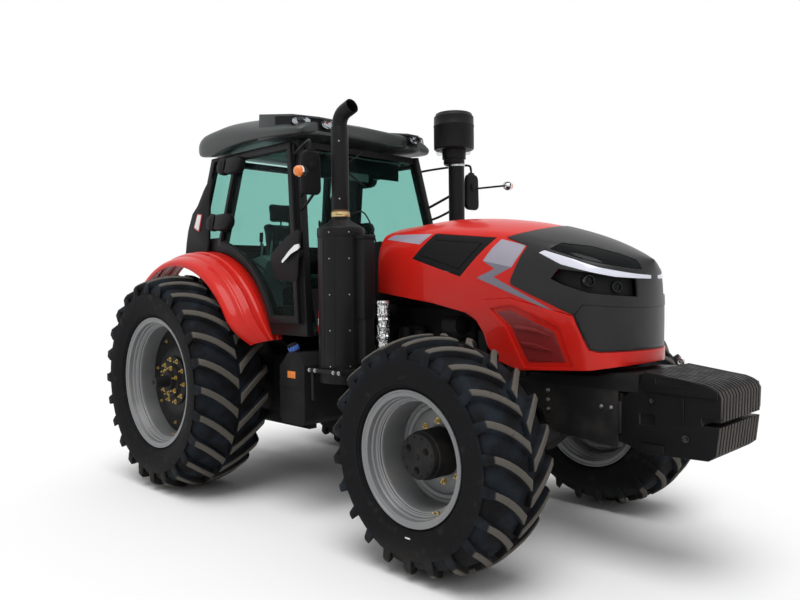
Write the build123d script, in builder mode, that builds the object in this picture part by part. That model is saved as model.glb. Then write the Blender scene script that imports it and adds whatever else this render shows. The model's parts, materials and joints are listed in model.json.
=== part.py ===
"""Four-wheel-drive farm tractor, about 260 horsepower, built as an assembly of separate pieces.

Units are millimetres. +X points forward, +Y to the driver's left, +Z up.
The origin is on the ground, half way between the front of the weights and the ball ends of the lower links.
Stations along the tractor are measured from the rear axle, on the planes that side(), across() and
level() give.
"""

import os
from math import atan2, cos, hypot, pi, radians, sin, sqrt

from build123d import *

os.makedirs("parts", exist_ok=True)

RIGHT, LEFT = -1, 1
GAP = 0.3                      # seating clearance between pieces that touch
RUNNING = 6                    # clearance between pieces that move past each other
RUNNING_FIT = 0.4              # clearance of a pin or shaft in its bore

# ---------------------------------------------------------------- driving dimensions
rear_axle_x = -1600
wheelbase = 2960

rear_tyre_radius = 925
rear_tyre_width = 645
rear_rim_radius = 559
rear_rim_width = 536
rear_wheel_y = 1070
rear_lugs = 24
rear_lug_depth = 50
rear_crown_drop = 52           # the tread's fall from the middle to the shoulder

front_tyre_radius = 725
front_tyre_width = 540
front_rim_radius = 407
front_rim_width = 486
front_wheel_y = 1000
front_lugs = 22
front_lug_depth = 46
front_crown_drop = 44

bead_drop = 26                 # the bead seat lies this far inside the flange's edge
rim_metal = 12
tyre_fit = 0.5                 # tyre bead to rim seat

kingpin_y = 745                # steering axis, inboard of the front wheel's centre
knuckle_radius = 88
steering_arm = 215             # kingpin to tie rod eye
front_beam_height = 190

floor_z = 1400
sill_z = 1430
eave_z = 2920                  # where the cab's pillars meet the roof
sill_y = 860
eave_y = 700
door_thickness = 36
glass_thickness = 8
pillar = 62

fender_arc = 1135              # radius of the fender's sheet at the cab
fender_metal = 14
door_arc = 1195                # radius of the door's lower rear edge, round the rear axle

weight_plates = 14
weight_pitch = 43
weight_groove = 11


def side(y=0.0):
    """The plane seen from the right: x forward of the rear axle, y up. Extrusions go to the right."""
    return Plane(origin=(rear_axle_x, y, 0), x_dir=(1, 0, 0), z_dir=(0, -1, 0))


def across(x):
    """The plane across the tractor at a station: x to the left, y up. Extrusions go forward."""
    return Plane(origin=(rear_axle_x + x, 0, 0), x_dir=(0, 1, 0), z_dir=(1, 0, 0))


def level(z):
    """The plane at a height: x forward of the rear axle, y to the left. Extrusions go up."""
    return Plane(origin=(rear_axle_x, 0, z), x_dir=(1, 0, 0), z_dir=(0, 0, 1))


def save(part, label):
    part.label = label
    export_step(part, f"parts/{label}.step")


def slab(points, y_from, y_to):
    """A plate with this side outline between two stations across the tractor."""
    with BuildPart() as plate:
        with BuildSketch(side(max(y_from, y_to))):
            with BuildLine():
                Polyline(*points, close=True)
            make_face()
        extrude(amount=abs(y_to - y_from))
    return plate.part


def block(x, y, z):
    """A rectangular block given by its low and high corner along each axis, x from the rear axle."""
    with BuildPart() as made:
        with BuildSketch(level(z[0])):
            with Locations(((x[0] + x[1]) / 2, (y[0] + y[1]) / 2)):
                Rectangle(x[1] - x[0], y[1] - y[0])
        extrude(amount=z[1] - z[0])
    return made.part


def rod(start, end, radius):
    """A round bar between two points, x from the rear axle."""
    a = Vector(rear_axle_x + start[0], start[1], start[2])
    b = Vector(rear_axle_x + end[0], end[1], end[2])
    with BuildPart() as made:
        with BuildSketch(Plane(origin=a, z_dir=b - a)):
            Circle(radius)
        extrude(amount=(b - a).length)
    return made.part


def turned(points, x, y, z, outward):
    """A body of revolution about an axle: each point is (distance outward from y, radius)."""
    axle = Plane(origin=(rear_axle_x + x, y, z), x_dir=(0, outward, 0), z_dir=(outward, 0, 0))
    with BuildPart() as made:
        with BuildSketch(axle):
            with BuildLine():
                Polyline(*points, close=True)
            make_face()
        revolve(axis=Axis((rear_axle_x + x, y, z), (0, 1, 0)))
    return made.part


def together(pieces):
    """Fuses pieces that are one casting or weldment."""
    with BuildPart() as made:
        for piece in pieces:
            add(piece)
    return made.part


def both_sides(piece):
    """The piece and its mirror image, as one node of two or more solids."""
    with BuildPart() as made:
        add(piece)
        mirror(about=Plane.XZ)
    return made.part


# ---------------------------------------------------------------- wheels
# Where a lug's curve is set, as shares of the tyre's half width: its inner end, its middle and the shoulder.
LUG_SHARES = (0.03, 0.48, 0.94)
LUG_LEAD, LUG_CURVE = 1.02, 0.28      # how far a lug runs forward as it goes inwards, and how that fades
LUG_THICKNESS = 0.050                 # share of the tyre's radius
LUG_DRAFT = 11
CROWN_SHARE = 0.90                    # where the crown has come down by the full drop
BULGE = 0.5                           # share of the sidewall's height where it stands furthest out


def lug_lead(share, half):
    outer = LUG_SHARES[-1]
    return half * (LUG_LEAD * (outer - share) - LUG_CURVE * (outer**2 - share**2))


def tyre(x, y, radius, width, rim_radius, rim_width, lugs, depth, drop, outward):
    """A tyre in flat facets: a pitch of casing and lug is turned round the axle, each side half a pitch apart."""
    half = width / 2
    seat = rim_radius - bead_drop + tyre_fit
    bead = rim_width / 2 - rim_metal - tyre_fit
    pitch = 2 * pi / lugs
    thick = LUG_THICKNESS * radius
    corner = 1 / cos(pitch / 2)           # puts a facet's middle on the circle

    def slope(share):
        return atan2(LUG_LEAD - 2 * LUG_CURVE * share, 1)

    def point(out, angle, height):
        return (rear_axle_x + x + height * sin(angle), y + outward * out, radius + height * cos(angle))

    start = -(lug_lead(LUG_SHARES[0], half) + 0.625 * thick / cos(slope(LUG_SHARES[0]))) / radius
    pitches = {}
    for hand in (1, -1):                  # outer side, then inner side
        for index in range(lugs + 1):
            turn = start + (index + (hand < 0) / 2) * pitch
            rows = []
            for share in LUG_SHARES:
                centre = turn + lug_lead(share, half) / radius
                swell = 1.25 if share == LUG_SHARES[0] else 1.0
                top_half = swell * thick / 2 / cos(slope(share)) / radius
                foot_half = top_half + LUG_DRAFT / cos(slope(share)) / radius
                top = radius - drop * ((share - LUG_SHARES[0]) / (CROWN_SHARE - LUG_SHARES[0])) ** 2.2
                rows.append([
                    point(hand * share * half, centre + offset, height)
                    for offset, height in ((-foot_half, top - depth), (-top_half, top), (top_half, top),
                                           (foot_half, top - depth))
                ])
            bulge = seat + (radius - seat) * BULGE
            end = [point(hand * half, turn + offset, bulge) for offset in (-thick / radius, thick / radius)]
            flange = point(hand * bead, turn, rim_radius + 5)
            bore = point(hand * bead, turn, seat * corner)
            pitches[hand, index] = (rows, end, flange, bore)

    faces = []

    def facet(*corners):
        """Triangles fanned over a ring of corners."""
        for second, third in zip(corners[1:], corners[2:]):
            faces.append(Face(Wire.make_polygon([corners[0], second, third], close=True)))

    for index in range(lugs):
        for hand in (1, -1):
            rows, end, flange, bore = pitches[hand, index]
            next_rows, next_end, next_flange, next_bore = pitches[hand, index + 1]
            for near, far, next_near, next_far in zip(rows, rows[1:], next_rows, next_rows[1:]):
                for a in range(3):        # rear flank, top and front flank
                    facet(near[a], near[a + 1], far[a + 1], far[a])
                facet(near[3], next_near[0], next_far[0], far[3])
            facet(*rows[0])
            outer = rows[-1]
            facet(outer[1], outer[2], end[1], end[0])
            facet(outer[0], outer[1], end[0])
            facet(outer[2], outer[3], end[1])
            facet(outer[3], next_rows[-1][0], next_end[0], end[1])
            facet(end[0], end[1], flange)
            facet(end[1], next_end[0], flange)
            facet(next_end[0], next_flange, flange)
            facet(flange, next_flange, next_bore, bore)
        outer_now, outer_next = pitches[1, index], pitches[1, index + 1]
        inner_now, inner_next = pitches[-1, index], pitches[-1, index + 1]
        # the valley along the middle, between the inner ends of both sides' lugs
        a1, (b0, _, _, b1) = outer_now[0][0][3], inner_now[0][0]
        next_a0, next_b0 = outer_next[0][0][0], inner_next[0][0][0]
        facet(a1, b0, b1)
        facet(a1, b1, next_a0)
        facet(next_a0, b1, outer_next[0][0][3])
        facet(b1, next_b0, outer_next[0][0][3])
        facet(outer_now[3], inner_now[3], outer_next[3])
        facet(inner_now[3], inner_next[3], outer_next[3])
    with BuildPart() as made:
        add(Solid(Shell(faces)))
    return made.part


def rim(x, y, z, radius, width, disc_y, hub_bore, outward):
    """A drop-centre rim with its wheel disc welded in at disc_y outward of the middle."""
    half = width / 2
    seat = radius - bead_drop
    well = seat - 46
    shelf, slope = 62, 26
    profile = [
        (half, radius), (half - rim_metal, radius), (half - rim_metal, seat), (half - shelf, seat),
        (half - shelf - slope, well), (-half + shelf + slope, well), (-half + shelf, seat),
        (-half + rim_metal, seat), (-half + rim_metal, radius), (-half, radius), (-half, seat - rim_metal),
        (-half + shelf + 6, seat - rim_metal), (-half + shelf + slope + 6, well - rim_metal),
        (half - shelf - slope - 6, well - rim_metal), (half - shelf - 6, seat - rim_metal), (half, seat - rim_metal),
    ]
    disc = [
        (disc_y, hub_bore), (disc_y, radius * 0.62), (disc_y - 45, well - rim_metal - 30), (disc_y - 45, well - 4),
        (disc_y - 65, well - 4), (disc_y - 65, well - rim_metal - 34), (disc_y - 20, radius * 0.60),
        (disc_y - 20, hub_bore),
    ]
    return together([turned(profile, x, y, z, outward), turned(disc, x, y, z, outward)])


rear_disc_y = -60              # wheel disc, outward of the rim's middle
front_disc_y = -50
rear_hub_bore = 150
front_hub_bore = 150
disc_metal = 20
rear_shaft_radius = 52
rear_shaft_end = 1345
spindle = 60                   # axle shafts in the hubs
rear_hub_face = 925            # where the rear axle's housing ends
front_hub_face = 842           # where the knuckle ends

for name, hand in (("right", RIGHT), ("left", LEFT)):
    save(tyre(0, hand * rear_wheel_y, rear_tyre_radius, rear_tyre_width, rear_rim_radius, rear_rim_width,
              rear_lugs, rear_lug_depth, rear_crown_drop, hand), f"rear_tyre_{name}")
    save(rim(0, hand * rear_wheel_y, rear_tyre_radius, rear_rim_radius, rear_rim_width, rear_disc_y,
             rear_hub_bore, hand), f"rear_rim_{name}")
    disc_in = rear_wheel_y + rear_disc_y - disc_metal
    hub = [
        (rear_hub_face + 45, 0), (rear_hub_face + 45, spindle + RUNNING_FIT), (rear_hub_face, spindle + RUNNING_FIT),
        (rear_hub_face, 120), (disc_in - 30, 120), (disc_in - 30, 235), (disc_in - GAP, 235),
        (disc_in - GAP, rear_hub_bore - GAP), (disc_in + 34, rear_hub_bore - GAP), (disc_in + 110, 95),
        (disc_in + 110, rear_shaft_radius), (rear_shaft_end, rear_shaft_radius), (rear_shaft_end, 0),
    ]
    save(turned(hub, 0, 0, rear_tyre_radius, hand), f"rear_hub_{name}")

    save(tyre(wheelbase, hand * front_wheel_y, front_tyre_radius, front_tyre_width, front_rim_radius,
              front_rim_width, front_lugs, front_lug_depth, front_crown_drop, hand), f"front_tyre_{name}")
    save(rim(wheelbase, hand * front_wheel_y, front_tyre_radius, front_rim_radius, front_rim_width, front_disc_y,
             front_hub_bore, hand), f"front_rim_{name}")
    disc_in = front_wheel_y + front_disc_y - disc_metal
    hub = [
        (front_hub_face + 45, 0), (front_hub_face + 45, spindle + RUNNING_FIT),
        (front_hub_face, spindle + RUNNING_FIT), (front_hub_face, 150), (disc_in - 24, 150),
        (disc_in - 24, 215), (disc_in - GAP, 215),
        (disc_in - GAP, front_hub_bore - GAP), (disc_in + 215, front_hub_bore - GAP), (disc_in + 235, 128),
        (disc_in + 235, 0),
    ]
    save(turned(hub, wheelbase, 0, front_tyre_radius, hand), f"front_hub_{name}")

# ---------------------------------------------------------------- steering knuckles, axles and steering gear
front_axle_z = front_tyre_radius
arm_thickness = 34
yoke_top = front_axle_z + 150
yoke_bottom = front_axle_z - 150
beam_end_y = kingpin_y + 25
slot_end, slot_length = 55, 200     # the knuckle's slot round the beam, outward from the kingpin

for name, hand in (("right", RIGHT), ("left", LEFT)):
    kingpin = (wheelbase, hand * kingpin_y)
    arm_end_x = wheelbase - steering_arm
    with BuildPart() as knuckle:
        # the housing's barrel round the beam end is open inboard, so the beam can swing in it
        with BuildSketch(level(yoke_bottom)):
            with Locations(kingpin):
                Circle(knuckle_radius)
        extrude(amount=yoke_top - yoke_bottom)
        with BuildSketch(level(front_axle_z - front_beam_height / 2 - RUNNING)):
            with Locations((wheelbase, hand * (kingpin_y + slot_end - slot_length / 2))):
                Rectangle(2 * knuckle_radius + 10, slot_length)
        extrude(amount=front_beam_height + 2 * RUNNING, mode=Mode.SUBTRACT)
        add(turned([(kingpin_y + slot_end, 0), (kingpin_y + slot_end, 140), (front_hub_face - RUNNING, 140),
                    (front_hub_face - RUNNING, spindle), (front_hub_face + 38, spindle), (front_hub_face + 38, 0)],
                   wheelbase, 0, front_axle_z, hand))
        # steering arm, cranked back from the lower yoke
        with BuildSketch(level(yoke_bottom)):
            with BuildLine():
                Polyline((wheelbase, hand * (kingpin_y - 55)), (wheelbase, hand * (kingpin_y + 40)),
                         (arm_end_x, hand * (kingpin_y - 5)), (arm_end_x, hand * (kingpin_y - 75)), close=True)
            make_face()
            with Locations((arm_end_x, hand * (kingpin_y - 40))):
                Circle(36)
        extrude(amount=arm_thickness)
    save(knuckle.part, f"knuckle_{name}")

saddle_half = 156              # the axle's pivot boss fits between the frame's two saddles
beam = []
for hand in (RIGHT, LEFT):
    inner, outer = 150, kingpin_y - knuckle_radius - 22
    half = front_beam_height / 2
    with BuildPart() as arm:
        with BuildSketch(across(wheelbase - 90)):
            with BuildLine():
                Polyline((hand * 60, front_axle_z + 130), (hand * inner, front_axle_z + 130),
                         (hand * 320, front_axle_z + half), (hand * beam_end_y, front_axle_z + half),
                         (hand * beam_end_y, front_axle_z - half), (hand * 320, front_axle_z - half),
                         (hand * inner, front_axle_z - 150), (hand * 60, front_axle_z - 150), close=True)
            make_face()
        extrude(amount=180)
    beam.append(arm.part)
differential_y = 40
beam.append(turned([(-160, 0), (-160, 100), (-100, 150), (100, 150), (160, 100), (160, 0)],
                   wheelbase, differential_y, front_axle_z, 1))
# the beam's ends are narrow tongues inside the knuckles' yokes
with BuildPart() as front_axle:
    for piece in beam:
        add(piece)
    for hand in (RIGHT, LEFT):
        for lip in (-1, 1):
            with BuildSketch(level(front_axle_z - 200)):
                with Locations((wheelbase + lip * 75, hand * (outer + beam_end_y + 40) / 2)):
                    Rectangle(70, beam_end_y + 40 - outer)
            extrude(amount=400, mode=Mode.SUBTRACT)
    for hand in (RIGHT, LEFT):
        # thrust collars between the beam's end and the knuckle's yoke
        collar = front_beam_height / 2 + RUNNING - RUNNING_FIT
        with BuildSketch(level(front_axle_z - collar)):
            with Locations((wheelbase, hand * kingpin_y)):
                Circle(23)
        extrude(amount=2 * collar)
    # pivot boss on top, held between the frame's two saddles
    add(rod((wheelbase - saddle_half + GAP, 0, front_axle_z + 150),
            (wheelbase + saddle_half - GAP, 0, front_axle_z + 150), 55))
save(front_axle.part, "front_axle")

cylinder_x = wheelbase - steering_arm
cylinder_half = 190
cylinder_radius = 46
rod_z = yoke_bottom + arm_thickness + 5 + 22
tie_y = kingpin_y - 40
tie_radius = 16
# the rod passes right through the cylinder and slides in it
with BuildPart() as steering_cylinder:
    add(rod((cylinder_x, -cylinder_half, rod_z), (cylinder_x, cylinder_half, rod_z), cylinder_radius))
    add(block((cylinder_x, wheelbase - 136), (-60, 60), (rod_z - 24, rod_z + 24)))
    add(rod((cylinder_x, -cylinder_half - 1, rod_z), (cylinder_x, cylinder_half + 1, rod_z),
            tie_radius + RUNNING_FIT), mode=Mode.SUBTRACT)
save(steering_cylinder.part, "steering_cylinder")
with BuildPart() as steering_rod:
    add(rod((cylinder_x, -tie_y + 20, rod_z), (cylinder_x, tie_y - 20, rod_z), tie_radius))
    for hand in (RIGHT, LEFT):
        with BuildSketch(level(rod_z - 22)):
            with Locations((cylinder_x, hand * tie_y)):
                Circle(30)
        extrude(amount=44)
save(steering_rod.part, "steering_rod")

# ---------------------------------------------------------------- driveline and frame
rear_axle_z = rear_tyre_radius
gearbox_front, gearbox_top, housing_top = 1760, 1100, 1300
drawbar_top = 440
link_pivot = (-150, 500)
pto_z, pto_radius = 700, 17.5
shaft_x, shaft_z, shaft_radius = -405, 1190, 42


def bearing(hand):
    """A block on the back of the housing that carries the lift arms' shaft."""
    with BuildPart() as made:
        add(block((shaft_x - 70, -320), sorted((hand * 150, hand * 205)), (shaft_z - 70, shaft_z + 70)))
        add(rod((shaft_x, -300, shaft_z), (shaft_x, 300, shaft_z), shaft_radius + RUNNING_FIT), mode=Mode.SUBTRACT)
    return made.part


save(together([
    slab([(-330, 640), (-250, 560), (300, 560), (420, 620), (gearbox_front, 640), (gearbox_front, gearbox_top),
          (520, gearbox_top), (420, 1180), (250, housing_top), (-250, housing_top), (-330, 1200)], -230, 230),
    slab([(-290, 640), (-220, 600), (260, 600), (330, 680), (330, 1100), (220, 1220), (-290, 1220)], -330, 330),
    block((-330, 500), (-150, 150), (drawbar_top + GAP, 600)),
    rod((link_pivot[0], -310, link_pivot[1]), (link_pivot[0], 310, link_pivot[1]), 24),
    block((link_pivot[0] - 60, link_pivot[0] + 60), (-255, 255), (link_pivot[1] - 50, 600)),
    rod((-430, 0, pto_z), (-300, 0, pto_z), pto_radius),
    block((-420, -325), (-110, 110), (pto_z + 100, pto_z + 108)),
    bearing(RIGHT), bearing(LEFT),
    block((-400, -325), (-70, -40), (880, 980)), block((-400, -325), (40, 70), (880, 980)),
    rod((-370, -75, 930), (-370, 75, 930), 14),
]), "gearbox")
trumpet = [(330 + GAP, 0), (330 + GAP, 200), (420, 185), (640, 120), (rear_hub_face - 60, 120),
           (rear_hub_face - 60, 150), (rear_hub_face - RUNNING, 150), (rear_hub_face - RUNNING, spindle),
           (rear_hub_face + 38, spindle), (rear_hub_face + 38, 0)]
save(together([turned(trumpet, 0, 0, rear_axle_z, hand) for hand in (RIGHT, LEFT)]), "rear_axle")

engine_rear, engine_front = gearbox_front + GAP, wheelbase - 240
block_front = engine_front - 80
engine_bottom, bell_top = 860, 1420
save(together([
    block((engine_rear, block_front), (-205, 205), (engine_bottom, 1330)),
    block((engine_rear + 95, block_front - 40), (-170, 180), (1330, 1560)),
    block((engine_rear + 110, block_front - 60), (-110, 90), (1560, 1660)),
    block((engine_rear, engine_rear + 90), (-300, 300), (820, bell_top)),
    slab([(block_front, 900), (engine_front, 940), (engine_front, 1380), (block_front, 1420)], -190, 190),
    rod((1980, -250, 1180), (1980, -250, 1420), 62),
    rod((2130, -250, 1180), (2130, -250, 1400), 52),
    block((1960, 2150), (-250, -200), (1380, 1430)),
    rod((2300, -285, 1250), (2300, -150, 1250), 75),
    rod((block_front - 220, -270, 1450), (block_front - 80, -270, 1450), 72),
    block((block_front - 210, block_front - 90), (-270, -160), (1400, 1500)),
    rod((block_front - 180, 285, 1300), (block_front - 40, 285, 1300), 78),
    block((block_front - 160, block_front - 60), (180, 285), (1250, 1350)),
    rod((1960, 215, 1500), (block_front - 80, 215, 1500), 42),
]), "engine")
deck_z = 1140
cooler_rear, cooler_front = wheelbase + 30, wheelbase + 170
save(together([
    block((cooler_rear, cooler_front), (-320, 320), (deck_z + GAP, 1780)),
    slab([(cooler_rear - 130, 1230), (cooler_rear, 1190), (cooler_rear, 1770), (cooler_rear - 130, 1700)], -290, 290),
    block((cooler_front + 20, cooler_front + 70), (-270, 270), (1230, 1740)),
    block((cooler_front, cooler_front + 20), (-200, 200), (1300, 1600)),
]), "radiator")

rail_y, rail_width = 235, 60
frame_top, frame_front = 1150, 3790
rail_rear = engine_rear + 90 + GAP
arch_rear, arch_front = wheelbase - 320, wheelbase + 280     # the rails clear the swinging axle between these
rail_side = [(rail_rear, 830), (arch_rear - 140, 880), (arch_rear, 940), (arch_front, 940), (arch_front + 90, 800),
             (frame_front, 760), (frame_front, 1130), (3300, frame_top), (rail_rear, 1060)]
with BuildPart() as front_frame:
    for hand in (RIGHT, LEFT):
        add(slab(rail_side, hand * rail_y, hand * (rail_y + rail_width)))
    add(block((frame_front - 90, frame_front), (-rail_y - 5, rail_y + 5), (800, 1110)))
    add(block((wheelbase - 200, wheelbase + 370), (-rail_y - 5, rail_y + 5), (1060, deck_z)))
    for station in (wheelbase - saddle_half - 59, wheelbase + saddle_half):
        with BuildSketch(across(station)):
            with BuildLine():
                Polyline((-rail_y - 5, 1060), (rail_y + 5, 1060), (90, front_axle_z + 70), (-90, front_axle_z + 70),
                         close=True)
            make_face()
        extrude(amount=59)
save(front_frame.part, "front_frame")

# ---------------------------------------------------------------- front weights
weight_rear, weight_front = 3815, 4400
half_stack = weight_plates * weight_pitch / 2
plate_side = [(weight_rear, 800), (3960, 752), (4330, 765), (4372, 800), (4395, 985), (weight_front, 1120),
              (4385, 1150), (4350, 1172), (4310, 1186), (3960, 1232), (3925, 1150), (weight_rear, 1060)]
core_side = [(weight_rear + 12, 812), (3964, 766), (4322, 779), (4358, 808), (4380, 985), (4384, 1116),
             (4340, 1158), (4304, 1171), (3972, 1214), (3936, 1140), (weight_rear + 12, 1050)]
slot_z, slot_height, slot_depth = 968, 26, 95
with BuildPart() as front_weights:
    add(slab(core_side, -half_stack + weight_groove, half_stack - weight_groove))
    for index in range(weight_plates):
        start = -half_stack + index * weight_pitch + weight_groove / 2
        add(slab(plate_side, start, start + weight_pitch - weight_groove))
    with BuildSketch(side(half_stack)):
        with Locations((weight_front - slot_depth / 2, slot_z)):
            Rectangle(slot_depth + 20, slot_height)
    extrude(amount=2 * half_stack, mode=Mode.SUBTRACT)
save(front_weights.part, "front_weights")
save(together([
    block((frame_front + GAP, weight_rear - GAP), (-rail_y - 40, rail_y + 40), (790, 1090)),
    block((frame_front + GAP, weight_rear - GAP), (-half_stack, half_stack), (850, 1040)),
]), "weight_carrier")

# ---------------------------------------------------------------- cab
lean = atan2(sill_y - eave_y, eave_z - sill_z)


def wall(inset=0.0):
    """The cab's right wall: x from the rear axle, y up the wall from the sill. Extrusions go outward."""
    plane = Plane(origin=(rear_axle_x, -sill_y, sill_z), x_dir=(1, 0, 0), z_dir=(0, -cos(lean), sin(lean)))
    return plane.offset(-inset)


def up(z):
    """The distance up the wall that a height gives."""
    return (z - sill_z) / cos(lean)


def arc_point(radius, z):
    """The station in front of the rear axle where a circle round it reaches a height."""
    return sqrt(radius**2 - (z - rear_axle_z) ** 2)


a_top, a_sill = 1165, 1462     # rear face of the front pillar at the eave and at the sill
b_top, b_waist = 378, 205      # rear edge of the door at the eave and where it meets the arc
c_top, c_waist = -30, -235
waist_z = 2095
door_top = eave_z - 35
door_sill = sill_z + 25


def a_line(z):
    return a_sill + (a_top - a_sill) * (z - sill_z) / (eave_z - sill_z)


def b_line(z):
    return b_waist + (b_top - b_waist) * (z - waist_z) / (eave_z - waist_z)


def c_line(z):
    return c_waist + (c_top - c_waist) * (z - waist_z) / (eave_z - waist_z)


def door_outline(inset, arc_radius, mid=0.5):
    """The door's edge, as lines and one arc that follows the fender."""
    low, high = door_sill + inset, door_top - inset
    start = (arc_point(arc_radius, low), up(low))
    end_z = rear_axle_z + sqrt(arc_radius**2 - (b_waist + inset) ** 2)
    end = (b_waist + inset, up(end_z))
    angle = (atan2(low - rear_axle_z, start[0]) + atan2(end_z - rear_axle_z, end[0])) * mid
    middle = (arc_radius * cos(angle), up(rear_axle_z + arc_radius * sin(angle)))
    ThreePointArc(start, middle, end)
    Polyline(end, (b_line(high) + inset, up(high)), (a_line(high) - inset, up(high)),
             (a_line(low) - inset, up(low)), start)


door_frame_width = 46
hinge_out = 66                 # hinge axis, outward from the wall's plane
hinge_back = 15                # and behind the door's rear edge
hinge_heights = (2790, 2300)
barrel_radius, barrel_half, hinge_pin = 30, 48, 10


def hinge_point(z):
    return wall().from_local_coords((b_line(z) - hinge_back, up(z), hinge_out))


hinge_line = (hinge_point(hinge_heights[0]) - hinge_point(hinge_heights[1])).normalized()


def hinge_plane(z, along):
    """Square to the hinge line at a height and a distance along it: x outward, y forward."""
    return Plane(origin=hinge_point(z) + hinge_line * along, x_dir=wall().z_dir, z_dir=hinge_line)


door_seal = 8                  # the doors close on the frame's outer face with this between them
door_overlap = 20
with BuildPart() as door_right:
    with BuildSketch(wall()):
        with BuildLine():
            door_outline(0, door_arc)
        make_face()
        with BuildLine():
            door_outline(door_frame_width, door_arc + door_frame_width)
        make_face(mode=Mode.SUBTRACT)
    extrude(amount=door_thickness)
    # latch plate low on the front edge
    with BuildSketch(wall(-door_thickness)):
        with Locations((1330, up(1990))):
            Rectangle(150, 60)
    extrude(amount=-door_thickness)
with BuildPart() as handle:
    with BuildSketch(wall(-door_thickness)):
        with Locations(Location((1320, up(1990), 0), 24)):
            Rectangle(130, 24)
    extrude(amount=24)
with BuildPart() as door_hinges:
    for z in hinge_heights:
        with BuildSketch(hinge_plane(z, -barrel_half)):
            Circle(barrel_radius)
            with BuildLine():
                Polyline((barrel_radius, 0), (barrel_radius, 110), (8, 140), (-hinge_out + door_thickness - 4, 140),
                         (-hinge_out + door_thickness - 4, 17), (-barrel_radius, 0), close=True)
            make_face()
            Circle(hinge_pin + RUNNING_FIT, mode=Mode.SUBTRACT)
        extrude(amount=2 * barrel_half)
door_frame = together([door_right.part, handle.part, door_hinges.part])
save(door_frame, "door_right")
with BuildPart() as door_glass:
    with BuildSketch(wall(-8)):
        with BuildLine():
            door_outline(door_frame_width + GAP, door_arc + door_frame_width + GAP)
        make_face()
    extrude(amount=glass_thickness)
    with BuildSketch(wall(0)):
        with Locations((1330, up(1990))):
            Rectangle(150 + 2 * GAP, 60 + 2 * GAP)
    extrude(amount=door_thickness, mode=Mode.SUBTRACT)
save(door_glass.part, "door_glass_right")
with BuildPart() as door_left:
    add(door_frame)
    mirror(about=Plane.XZ, mode=Mode.REPLACE)
save(door_left.part, "door_left")
with BuildPart() as door_glass_left:
    add(door_glass.part)
    mirror(about=Plane.XZ, mode=Mode.REPLACE)
save(door_glass_left.part, "door_glass_left")

# Frame of the cab: pillars and rails on the walls' plane, closed round each door and side window.
frame_depth = 58
sill_low = sill_z - 70


def fender_line(radius):
    """An arc round the rear axle from the sill to behind the rear pillar."""
    start = (arc_point(radius, sill_low), up(sill_low))
    end_x = c_waist - 60
    end = (end_x, up(rear_axle_z + sqrt(radius**2 - end_x**2)))
    angle = (atan2(sill_low - rear_axle_z, start[0]) + atan2(end[1] * cos(lean) + sill_z - rear_axle_z, end_x)) / 2
    return start, (radius * cos(angle), up(rear_axle_z + radius * sin(angle))), end


def window_corners(inset):
    """The rear side window behind the door."""
    low, high = waist_z + 85 + inset, door_top - inset
    return [(b_line(low) - 70 - inset, up(low)), (b_line(high) - 70 - inset, up(high)),
            (c_line(high) + inset, up(high)), (c_line(low) + inset, up(low))]


with BuildPart() as wall_frame:
    with BuildSketch(wall(frame_depth + door_seal)):
        with BuildLine():
            start, middle, end = fender_line(fender_arc + 9)
            ThreePointArc(start, middle, end)
            Polyline(end, (c_line(eave_z) - pillar, up(eave_z)), (a_line(eave_z) + pillar, up(eave_z)),
                     (a_line(sill_z) + pillar, up(sill_low)), start)
        make_face()
        with BuildLine():
            door_outline(door_overlap, door_arc + door_overlap)
        make_face(mode=Mode.SUBTRACT)
        with BuildLine():
            Polyline(*window_corners(0), close=True)
        make_face(mode=Mode.SUBTRACT)
    extrude(amount=frame_depth)
with BuildPart() as frame_hinges:
    frame_face, ear = -hinge_out - door_seal, 14
    for z in hinge_heights:
        for low, high in ((-barrel_half - ear, -barrel_half - RUNNING_FIT), (barrel_half + RUNNING_FIT, barrel_half + ear)):
            with BuildSketch(hinge_plane(z, low)):
                Circle(barrel_radius - 4)
                with BuildLine():
                    Polyline((barrel_radius - 4, 0), (barrel_radius - 4, -60), (frame_face - 8, -60),
                             (frame_face - 8, 2), (-barrel_radius + 4, 2), close=True)
                make_face()
            extrude(amount=high - low)
        with BuildSketch(hinge_plane(z, -barrel_half - 14)):
            Circle(hinge_pin)
        extrude(amount=2 * barrel_half + 28)
        with BuildSketch(hinge_plane(z, -barrel_half - 14)):
            with BuildLine():
                Polyline((barrel_radius, -barrel_radius - RUNNING), (barrel_radius, -110), (8, -140),
                         (frame_face - 8, -140), (frame_face - 8, -barrel_radius - RUNNING), close=True)
            make_face()
        extrude(amount=2 * barrel_half + 28)
header_z = eave_z - 60
front_x = a_line(eave_z) + pillar
rear_x = c_line(eave_z) - pillar
lower_rear_x = c_line(waist_z) - pillar
save(together([
    both_sides(wall_frame.part), both_sides(frame_hinges.part),
    block((front_x - 90, front_x - 12), (-660, 660), (header_z, eave_z - 8)),
    block((rear_x + 10, rear_x + 90), (-660, 660), (header_z, eave_z - 8)),
    block((lower_rear_x + 12, lower_rear_x + 60), (-740, 740), (waist_z - 20, waist_z + 50)),
]), "cab_frame")

with BuildPart() as quarter:
    with BuildSketch(wall(door_seal + 30)):
        with BuildLine():
            Polyline(*window_corners(GAP), close=True)
        make_face()
    extrude(amount=glass_thickness)
save(both_sides(quarter.part), "quarter_windows")

# Windscreen and rear window stand between the side walls, on planes that lean with the pillars.
glass_foot_z = 1720


def wall_y(z, inside=0.0):
    return sill_y + (eave_y - sill_y) * (z - sill_z) / (eave_z - sill_z) - inside


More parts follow.
